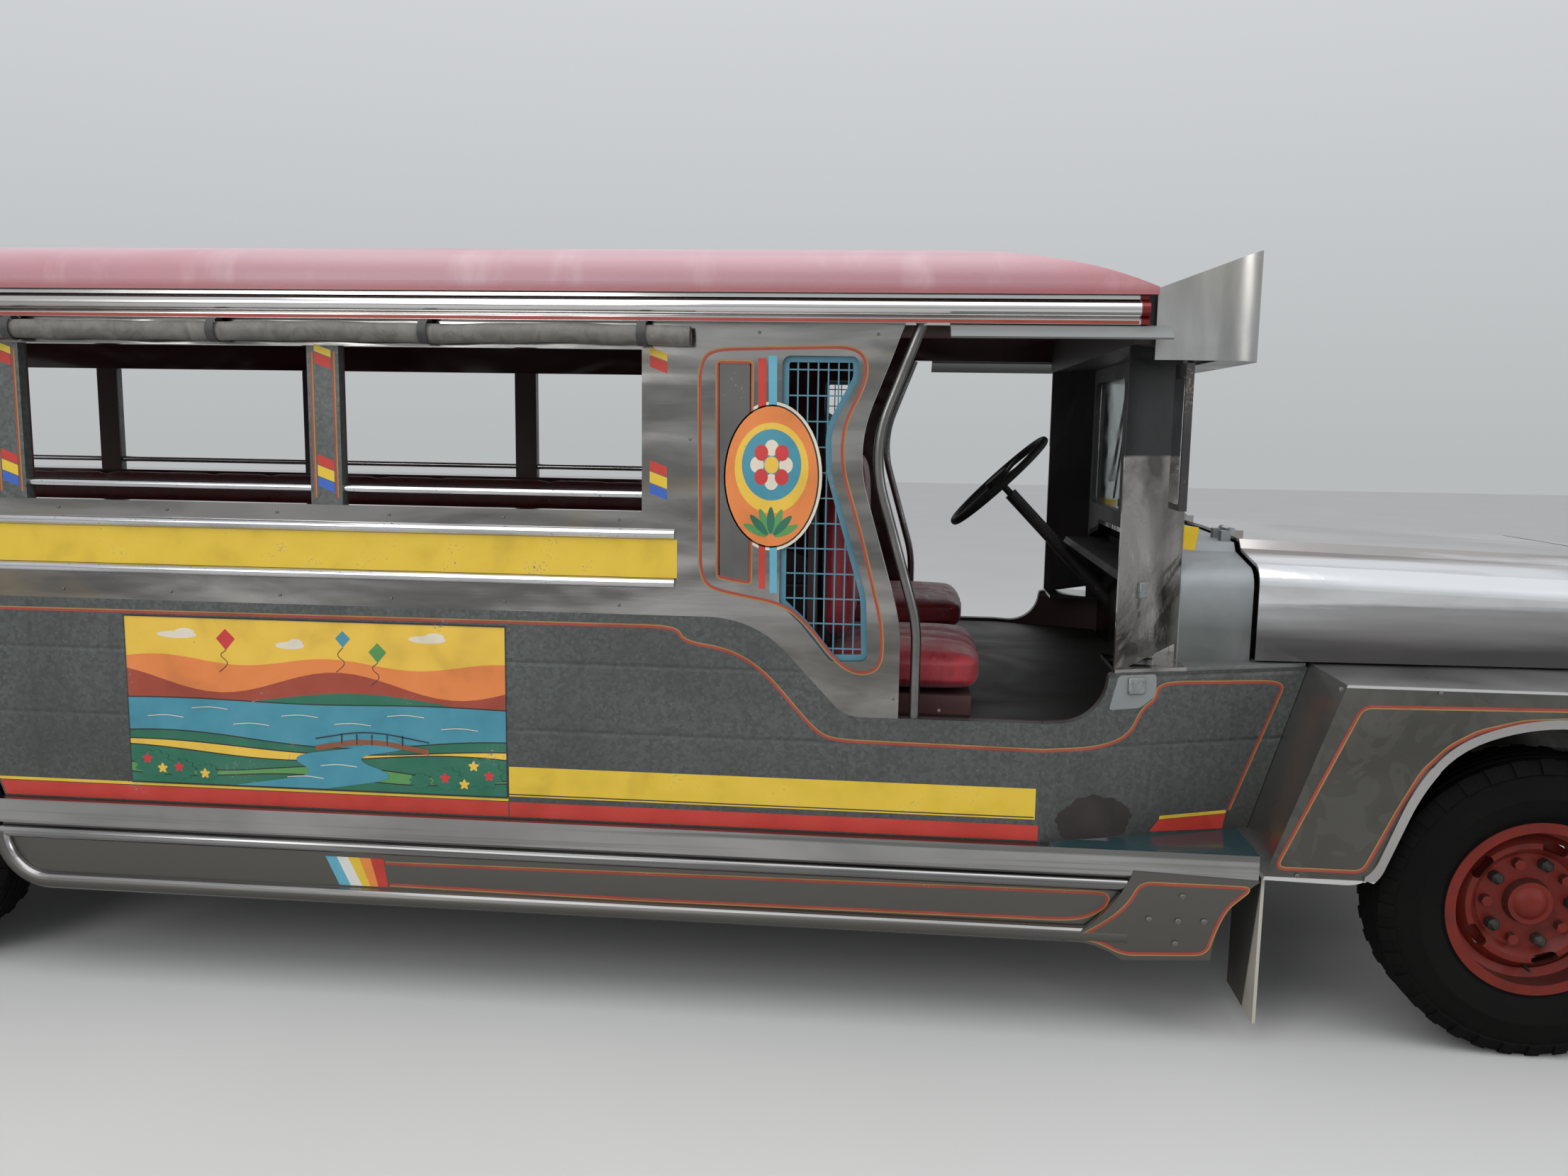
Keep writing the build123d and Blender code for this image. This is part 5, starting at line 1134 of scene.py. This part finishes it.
    def rosette(self):
        """The oval: border, orange field, blue disc, petals and a leaf fan, each as paint, layer, outline."""
        u, v = 1.916, 1.411
        disc = 1.440
        shapes = [
            ("cream", 3, ring((u, v), 0.126, 0.184)),
            ("ink", 4, ring((u, v), 0.119, 0.177)),
            ("dusk", 5, ring((u, v), 0.115, 0.173)),
            ("sky", 6, ring((u, 1.432), 0.092, 0.112)),
            ("water", 7, ring((u, disc), 0.074, 0.088)),
        ]
        for number in range(8):
            turn = math.tau * number / 8
            spot = (u + 0.036 * math.cos(turn), disc + 0.042 * math.sin(turn))
            shapes.append(("bloom" if number % 2 else "cream", 8 + number % 2, ring(spot, 0.017, 0.020, 24)))
        shapes.append(("sky", 10, ring((u, disc), 0.018, 0.021, 24)))
        for number in range(7):
            lean = math.radians(-66 + 22 * number)
            tip = Vector((u + 0.085 * math.sin(lean), 1.262 + 0.085 * math.cos(lean)))
            root = Vector((u, 1.258))
            bulge = Vector((math.cos(lean), -math.sin(lean))) * 0.013
            halfway = (tip + root) / 2
            leaf = softened([root, halfway + bulge, tip, halfway - bulge], 0.03, True)
            shapes.append(("leaf" if number % 2 else "grass", 8 + number % 2, leaf))
        return shapes


class JEEPNEY_OT_tyres(bpy.types.Operator):
    """Model one ribbed tyre with lugged shoulders, and stand a copy at each wheel"""

    bl_idname = "jeepney.tyres"
    bl_label = "Tyres"

    def execute(self, context):
        sizes = context.scene.jeepney_sizes
        lugs = sizes.shoulder_lugs
        deep = sizes.tread_depth
        radius, half = TYRE_RADIUS, 0.008
        shoulder_start, shoulder_end, shoulder_depth, lug_rise = 0.068, 0.0868, 0.03, 0.005
        pattern = cylinder(lugs * 4, radius, 2 * half, turn=(math.pi / 2, 0, 0), ends="NOTHING")
        bpy.ops.object.transform_apply(location=False, rotation=True, scale=False)
        # Rings from the middle of the tread to the bead: depth under the tread, half width
        rings = [
            (deep, 0.0095), (deep, 0.0150), (0.0005, 0.0165), (0.001, 0.0350), (deep, 0.0365),
            (deep, 0.0425), (0.002, 0.0440), (0.003, 0.0670), (0.020, 0.0815), (0.034, 0.0872),
            (0.037, 0.0845), (0.060, 0.0915), (0.084, 0.0945), (0.088, 0.0965), (0.094, 0.0965),
            (0.098, 0.0940), (0.124, 0.0880), (0.146, 0.0760), (0.152, 0.0680), (0.174, 0.0640),
        ]
        open_mesh(pattern)
        pick(pattern, lambda centre, along: abs(abs(centre.y) - half) < 1e-5 and abs(along.y) < 1e-4, "EDGE")
        for depth, next_half in rings:
            next_radius = TYRE_RADIUS - depth
            bpy.ops.mesh.extrude_edges_move()
            scale = (next_radius / radius, next_half / half, next_radius / radius)
            bpy.ops.transform.resize(value=scale, center_override=(0, 0, 0))
            radius, half = next_radius, next_half
        bpy.ops.mesh.bridge_edge_loops()
        bpy.ops.mesh.select_all(action="SELECT")
        bpy.ops.mesh.remove_doubles(threshold=0.00005)
        bpy.ops.mesh.normals_make_consistent(inside=False)

        def lug(centre):
            turn = math.degrees(math.atan2(centre.z, centre.x)) % 360
            step = int(turn / (360 / (lugs * 4)))
            high = centre.xz.length > TYRE_RADIUS - shoulder_depth
            return high and shoulder_start < abs(centre.y) < shoulder_end and step % 4 in (0, 1)

        for side in (1, -1):
            pick(pattern, lambda centre, normal: lug(centre) and centre.y * side > 0)
            bpy.ops.mesh.extrude_region_move(TRANSFORM_OT_translate={"value": (0, 0, 0)})
            bpy.ops.transform.shrink_fatten(value=lug_rise)
        close_mesh()
        material = rubber("tyre_rubber", (0.003, 0.003, 0.003), dust=0.04, specular=0.08)
        for wheel, _, centre in WHEELS:
            tyre = twin(pattern)
            tyre.location = centre
            settle(tyre, f"tyre_tread_{wheel}", f"wheel_{wheel}", material, 30)
            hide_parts(f"tyre_{wheel}")
        bpy.data.objects.remove(pattern)
        return {"FINISHED"}


class JEEPNEY_OT_wheel_nuts(bpy.types.Operator):
    """Cap the five wheel studs with dark nuts, and add a valve to each wheel"""

    bl_idname = "jeepney.wheel_nuts"
    bl_label = "Wheel nuts"

    def execute(self, context):
        dark = paint("nut_steel", (0.03, 0.028, 0.027), 0.45, (0.12, 0.06, 0.03), metal=0.6)
        studs, stud_circle, stud_out = 5, 0.1025, 0.0185
        valve_out, valve_low = 0.03, -0.166
        nut = cylinder(6, 0.0165, 0.026)
        step_in(nut, (0.004, (0, 0, 0.003)), (0.003, (0, 0, 0.007)))
        finish_with(nut, "BEVEL", width=0.0012, segments=1)
        for wheel, sign, centre in WHEELS:
            face = Matrix.Rotation(-sign * math.pi / 2, 4, "X")
            places = []
            for number in range(studs):
                turn = math.tau * number / studs
                spot = (stud_circle * math.cos(turn), sign * stud_out, stud_circle * math.sin(turn) * -sign)
                places.append((spot, face))
            # The valve is a thin, long copy of the nut
            places.append(((0.0, sign * valve_out, valve_low), face @ Matrix.Diagonal((0.3, 0.3, 1.3, 1))))
            made = []
            for spot, form in places:
                copy = twin(nut)
                copy.matrix_world = Matrix.Translation(centre + Vector(spot)) @ form
                made.append(copy)
            settle(joined(made), f"wheel_nuts_{wheel}", f"wheel_{wheel}", dark, 30)
        bpy.data.objects.remove(nut)
        return {"FINISHED"}


def cushion(low, high, channels, axis, crown):
    """A closed cushion in a box: crowned faces, sides that pull in between the corners, sewn channels."""
    low, high = Vector(low), Vector(high)
    centre, lengths = (low + high) / 2, high - low
    seam_depth, seam_half, mesh_size, edge = 0.012, 0.009, 0.03, 0.030
    bpy.ops.mesh.primitive_cube_add(size=1, location=centre, scale=lengths)
    pad = bpy.context.object
    bpy.ops.object.transform_apply(location=True, rotation=False, scale=True)
    finish_with(pad, "BEVEL", width=min(edge, min(lengths) * 0.3), segments=3)
    open_mesh(pad)
    for number in range(3):
        normal = [0, 0, 0]
        normal[number] = 1
        count = max(4, int(lengths[number] / mesh_size))
        for step in range(1, count):
            place = low.copy()
            place[number] = low[number] + lengths[number] * step / count
            cut(place, normal)
    close_mesh()
    half = lengths / 2
    for point in pad.data.vertices:
        share = [(point.co[n] - centre[n]) / half[n] for n in range(3)]
        for n in range(3):
            others = [share[m] for m in range(3) if m != n]
            fall = (1 - others[0] ** 4) * (1 - others[1] ** 4)
            groove = 0.0
            if n != axis:
                along = (share[axis] * 0.5 + 0.5) * channels
                near = abs(along - round(along)) * lengths[axis] / channels
                groove = math.exp(-((near / seam_half) ** 2)) * (0 < round(along) < channels)
            rise = crown * (fall - 1) - seam_depth * groove * min(1.0, fall * 3)
            point.co[n] += share[n] * rise
    return finish_with(pad, "SUBSURF", levels=1, render_levels=1)


class JEEPNEY_OT_seats(bpy.types.Operator):
    """Cover the front seats and the benches in channelled red vinyl"""

    bl_idname = "jeepney.seats"
    bl_label = "Seats"

    def execute(self, context):
        crown = context.scene.jeepney_sizes.seat_crown
        tone = context.scene.jeepney_colours.vinyl
        vinyl = woven("seat_vinyl", tone, 260.0)
        maroon = woven("bench_vinyl", shade(tone, 0.3), 260.0)
        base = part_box("seat_bases")[0].z
        rear = FRONT_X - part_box("seat_cushions")[0].x
        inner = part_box("seat_cushions")[1].y
        bench_front = 2.262
        bench_out = inner - 0.001
        # Pads: name, near and far side, rear and front end, low and high, channels and their axis,
        # crown, vinyl, fill
        pads = [
            ("front_cushion", 0.212, 0.773, 1.788, 1.372, base + 0.051, base + 0.170,
             5, 1, crown, vinyl, 0.7),
            ("front_back", 0.232, 0.748, 1.804, 1.702, base + 0.182, 1.438,
             5, 1, crown, vinyl, 0.8),
            ("bench_cushion", 0.472, bench_out, rear, bench_front, BENCH_TOP + 0.001, BENCH_TOP + 0.070,
             14, 0, crown * 0.6, maroon, 0.8),
            ("bench_back", inner - 0.049, bench_out, rear, bench_front, BENCH_TOP + 0.071, BENCH_TOP + 0.189,
             14, 0, crown * 0.5, maroon, 0.8),
        ]
        stand_in = None
        for hand, sign in SIDES:
            for name, near, far, back, front, low, high, channels, axis, rise, cover, fill in pads:
                y0, y1 = sorted((sign * near, sign * far))
                pad = cushion((FRONT_X - back, y0, low), (FRONT_X - front, y1, high), channels, axis, rise)
                settle(pad, f"{name}_{hand}", "body", cover, 60)
                stand_in = stand_in or pad
        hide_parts("seat_cushions")
        return {"FINISHED"}


class JEEPNEY_OT_curtains(bpy.types.Operator):
    """Roll a plastic-coated curtain up under each side of the roof, with its straps"""

    bl_idname = "jeepney.curtains"
    bl_label = "Rolled curtains"

    def execute(self, context):
        turns = context.scene.jeepney_sizes.curtain_turns
        cloth = woven("curtain_cloth", (0.13, 0.122, 0.107), 330.0, 0.006)
        strap = woven("curtain_strap", (0.03, 0.03, 0.03), 300.0, 0.0005)
        low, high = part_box("curtain_rolls")
        length = high.x - low.x
        cloth_length = length - 0.004
        centre_x, centre_z = (low.x + high.x) / 2, (low.z + high.z) / 2
        steps = int(turns * 22)
        core, rim, inset = 0.006, 0.0272, 0.030
        strap_count, strap_radius, strap_inset, strap_pitch = 7, 0.0294, 0.12, 0.58
        spiral = []
        for step in range(steps + 1):
            turn = math.tau * turns * step / steps
            radius = core + (rim - core) * step / steps
            spiral.append((radius * math.cos(turn), radius * math.sin(turn)))
        for hand, sign in SIDES:
            centre_y = sign * (high.y - inset)
            bpy.ops.mesh.primitive_grid_add(x_subdivisions=90, y_subdivisions=steps, size=1)
            roll = bpy.context.object
            for point in roll.data.vertices:
                number = min(int(round((point.co.y + 0.5) * steps)), steps)
                y, z = spiral[number]
                along = point.co.x * cloth_length
                swell = 0.95 + 0.05 * math.sin(along * 9 + z * 60)
                swell += 0.04 * math.sin(along * 31 + number * 0.4)
                sag = -0.0012 * (1 + math.cos(along * math.tau / strap_pitch))
                point.co = (centre_x + along, centre_y + y * swell, centre_z + z * swell + sag)
            settle(roll, f"curtain_{hand}", "body", cloth, 70)
            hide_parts("curtain_rolls")
            straps = []
            for number in range(strap_count):
                x = low.x + strap_inset + (length - 2 * strap_inset) * number / (strap_count - 1)
                tie = cylinder(28, strap_radius, 0.022, (x, centre_y, centre_z), AHEAD, "NOTHING")
                straps.append(finish_with(tie, "SOLIDIFY", thickness=0.0016, offset=1))
            settle(joined(straps), f"curtain_straps_{hand}", "body", strap, 40)
        return {"FINISHED"}


class JEEPNEY_OT_lamps(bpy.types.Operator):
    """Fit headlamp bezels, amber signals, tail lamp rims, mirror glass and wipers"""

    bl_idname = "jeepney.lamps"
    bl_label = "Lamps, mirrors and wipers"

    def execute(self, context):
        chrome = bright("bezel_chrome")
        amber = clear("amber_lens", (0.75, 0.26, 0.01), 0.08, 0.6)
        silver = bright("mirror_silver", (0.72, 0.73, 0.74), 0.03)
        black = rubber("wiper_rubber", (0.012, 0.012, 0.012), 20, 0.2)
        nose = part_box("grille_shell")[1].x
        tail_low, tail_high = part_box("tail_lamps")
        mirror_low, mirror_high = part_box("mirrors")
        face = FRONT_X - 0.880
        lamp_out, lamp_up, signal_up = 0.455, 0.960, 0.805
        for hand, sign in SIDES:
            bezel = hoop(0.096, 0.009, 48, 12, (nose + 0.004, sign * lamp_out, lamp_up))
            bezel.scale = (1, 1, 1.3)
            settle(bezel, f"headlamp_bezel_{hand}", "body", chrome, 60)
            signal = cylinder(32, 0.036, 0.030, (nose + 0.012, sign * lamp_out, signal_up), AHEAD)
            step_in(signal, (0.010, (0.005, 0, 0)))
            finish_with(signal, "BEVEL", width=0.003, segments=2)
            settle(signal, f"front_signal_{hand}", "body", amber, 40)
            for rim, level in (("lower", tail_low.z + TAIL_RADIUS), ("upper", tail_high.z - TAIL_RADIUS)):
                place = (tail_low.x + 0.012, sign * (tail_high.y - TAIL_RADIUS), level)
                bezel = hoop(TAIL_RADIUS + 0.002, 0.004, 40, 10, place)
                settle(bezel, f"tail_bezel_{rim}_{hand}", "body", chrome, 60)
            place = (mirror_low.x - 0.0012, sign * (mirror_high.y - 0.060), mirror_low.z + 0.165)
            pane = block((0.003, 0.106, 0.300), place, 0.0012)
            settle(pane, f"mirror_glass_{hand}", "body", silver, 40)
            arm = block((0.006, 0.010, 0.26), (face + 0.009, sign * 0.28, 1.42), 0.002,
                        turn=(sign * 0.55, 0, 0))
            blade = block((0.010, 0.008, 0.34), (face + 0.012, sign * 0.33, 1.50), 0.003,
                          turn=(sign * 0.62, 0, 0))
            hub = block((0.020, 0.030, 0.030), (face + 0.0095, sign * 0.205, 1.302), 0.006, 2)
            settle(joined([arm, blade, hub]), f"wiper_{hand}", "body", black, 40)
        return {"FINISHED"}


class JEEPNEY_OT_fixings(bpy.types.Operator):
    """Add the bolt heads, small plates and side reflectors of the sheets"""

    bl_idname = "jeepney.fixings"
    bl_label = "Bolts and plates"

    def execute(self, context):
        bolt_steel = paint("bolt_steel", (0.16, 0.155, 0.15), 0.4, (0.1, 0.05, 0.03), metal=0.8)
        yellow = clear("reflector_lens", (0.8, 0.55, 0.02), 0.1, 0.7)
        plate_steel = galvanised("small_plate", (0.26, 0.28, 0.28))
        head = cylinder(10, 0.008, 0.006)
        step_in(head, (0.003, (0, 0, 0.0018)))
        rail_bolts = [(2.30 + 0.30 * number, level) for number in range(12) for level in (1.295, 1.078)]
        # Bolt heads on each side: surface, size, places (behind, up)
        groups = [
            (PLATE, 1.0, [(0.950, 0.330), (0.879, 0.329), (0.816, 0.331), (0.883, 0.270), (0.872, 0.393)]),
            (SKIRT, 0.6, [(2.3, 0.395), (2.9, 0.395), (3.5, 0.395)]),
            (HALF_WIDTH, 0.7, [(0.60, 0.46), (0.53, 0.93), (0.0, 0.930), (0.3, 0.928), (-0.3, 0.930)]),
            (WALL, 0.5, [(1.485, 0.835), (1.60, 0.86), (1.66, 1.76), (1.95, 1.762), (2.12, 1.30),
                         (2.12, 1.50), *rail_bolts]),
        ]
        taper = math.atan((WALL - TAPER_FACE) / (TAPER_START - TAPER_END))
        tab_behind = 0.988
        tab_out = side_face(tab_behind) + 0.003
        bolts, plates, reflectors = [], [], []
        for side in (-1, 1):
            turn = Matrix.Rotation(-side * math.pi / 2, 4, "X")
            for surface, size, places in groups:
                for behind, up in places:
                    copy = twin(head)
                    spot = Vector((FRONT_X - behind, side * (surface + 0.001), up))
                    copy.matrix_world = Matrix.Translation(spot) @ turn @ Matrix.Scale(size, 4)
                    bolts.append(copy)
            plates.append(block((0.046, 0.008, 0.042), (FRONT_X - tab_behind, side * tab_out, 0.898), 0.002,
                                turn=(0, 0, -side * taper)))
            plates.append(block((0.034, 0.012, 0.040), (FRONT_X - 0.973, side * 0.726, 1.135), 0.002,
                                turn=(0, 0, -side * math.atan(0.172 / 0.19))))
            reflectors.append(block((0.054, 0.006, 0.062), (FRONT_X - 0.846, side * 0.611, 1.262), 0.0025, 2,
                                    turn=(0, 0.12, 0)))
            reflectors.append(block((0.050, 0.012, 0.030),
                                    (FRONT_X - BODY_REAR + 0.08, side * (WALL + 0.004), 0.70), 0.003))
        bpy.data.objects.remove(head)
        settle(joined(bolts), "bolt_heads", "body", bolt_steel, 30)
        settle(joined(plates), "small_plates", "body", plate_steel, 40)
        settle(joined(reflectors), "side_reflectors", "body", yellow, 40)
        return {"FINISHED"}


class JEEPNEY_OT_stage(bpy.types.Operator):
    """Lay the pale floor, set plain soft light and put the camera at the photograph's view"""

    bl_idname = "jeepney.stage"
    bl_label = "Stage"

    def execute(self, context):
        bpy.ops.mesh.primitive_plane_add(size=60, location=(0, 0, -0.0005))
        floor = bpy.context.object
        floor.name = "stage_floor"
        ground = Finish("stage_floor")
        ground.base = (0.50, 0.50, 0.49)
        ground.cover((0.56, 0.56, 0.55), ground.noise(0.8, 5.0))
        floor.data.materials.append(ground.done(0.85))
        # Light from all round, a little brighter and bluer from above
        world = bpy.data.worlds.new("stage_light")
        context.scene.world = world
        world.use_nodes = True
        tree = world.node_tree
        view = add_node(tree, "ShaderNodeTexCoord").outputs["Generated"]
        height = add_node(tree, "ShaderNodeSeparateXYZ", {0: view}).outputs[2]
        rise = add_node(tree, "ShaderNodeMapRange", {0: height, 1: -0.02, 2: 0.55}).outputs[0]
        tints = {0: rise, 6: (0.60, 0.62, 0.63, 1), 7: (0.94, 0.96, 1.0, 1)}
        sky = add_node(tree, "ShaderNodeMix", tints, data_type="RGBA").outputs[2]
        back = tree.nodes["Background"]
        tree.links.new(sky, back.inputs[0])
        back.inputs[1].default_value = 0.8
        # Lamps: name, place, size, power, target
        lamps = [
            ("overhead", (0.5, -2.0, 6.5), 7.0, 235.0, (0.3, 0, 1.0)),
            ("side", (-3.0, -7.5, 4.2), 4.0, 165.0, (0.3, -0.9, 1.0)),
            ("front", (7.5, -3.0, 3.4), 3.0, 95.0, (2.5, -0.6, 0.8)),
        ]
        for name, place, size, power, target in lamps:
            bpy.ops.object.light_add(type="AREA", location=place)
            lamp = bpy.context.object
            lamp.name = f"stage_{name}"
            lamp.data.size = size
            lamp.data.energy = power
            lamp.rotation_euler = (Vector(target) - Vector(place)).to_track_quat("-Z", "Y").to_euler()
        # The photograph's view, as fitted to the vehicle's own lines
        camera = bpy.data.cameras.new("photo_view")
        camera.sensor_width = 36.0
        camera.lens = 28.25
        viewer = bpy.data.objects.new("photo_view", camera)
        context.collection.objects.link(viewer)
        yaw, pitch, roll = math.radians(-5.28), math.radians(7.61), math.radians(0.90)
        ahead = Vector((math.sin(yaw) * math.cos(pitch), math.cos(yaw) * math.cos(pitch), -math.sin(pitch)))
        right = Vector((math.cos(yaw), -math.sin(yaw), 0))
        down = ahead.cross(right)
        across = math.cos(roll) * right - math.sin(roll) * down
        below = math.sin(roll) * right + math.cos(roll) * down
        turn = Matrix((across, -below, -ahead)).transposed().to_4x4()
        viewer.matrix_world = Matrix.Translation((0.976, -3.913, 1.542)) @ turn
        context.scene.camera = viewer
        context.scene.view_settings.view_transform = "Standard"
        return {"FINISHED"}


class JEEPNEY_PT_panel(bpy.types.Panel):
    """Lists the sizes, the colours and the steps that dress the jeepney"""

    bl_idname = "JEEPNEY_PT_panel"
    bl_label = "Jeepney"
    bl_space_type = "VIEW_3D"
    bl_region_type = "UI"
    bl_category = "Jeepney"

    def draw(self, context):
        for group in (context.scene.jeepney_sizes, context.scene.jeepney_colours):
            for name in group.bl_rna.properties.keys():
                if name not in {"rna_type", "name"}:
                    self.layout.prop(group, name)
        for step in STEPS:
            self.layout.operator(step.bl_idname)


STEPS = [
    JEEPNEY_OT_stage,
    JEEPNEY_OT_finishes,
    JEEPNEY_OT_fender_sheets,
    JEEPNEY_OT_tyres,
    JEEPNEY_OT_wheel_nuts,
    JEEPNEY_OT_pinstripes,
    JEEPNEY_OT_bands,
    JEEPNEY_OT_panels,
    JEEPNEY_OT_seats,
    JEEPNEY_OT_curtains,
    JEEPNEY_OT_lamps,
    JEEPNEY_OT_fixings,
]
CLASSES = [JeepneySizes, JeepneyColours, *STEPS, JEEPNEY_PT_panel]


def register():
    for item in CLASSES:
        bpy.utils.register_class(item)
    bpy.types.Scene.jeepney_sizes = bpy.props.PointerProperty(type=JeepneySizes)
    bpy.types.Scene.jeepney_colours = bpy.props.PointerProperty(type=JeepneyColours)


def unregister():
    del bpy.types.Scene.jeepney_colours
    del bpy.types.Scene.jeepney_sizes
    for item in reversed(CLASSES):
        bpy.utils.unregister_class(item)


def main():
    register()
    for step in STEPS:
        group, name = step.bl_idname.split(".")
        getattr(getattr(bpy.ops, group), name)()


if __name__ == "__main__":
    main()
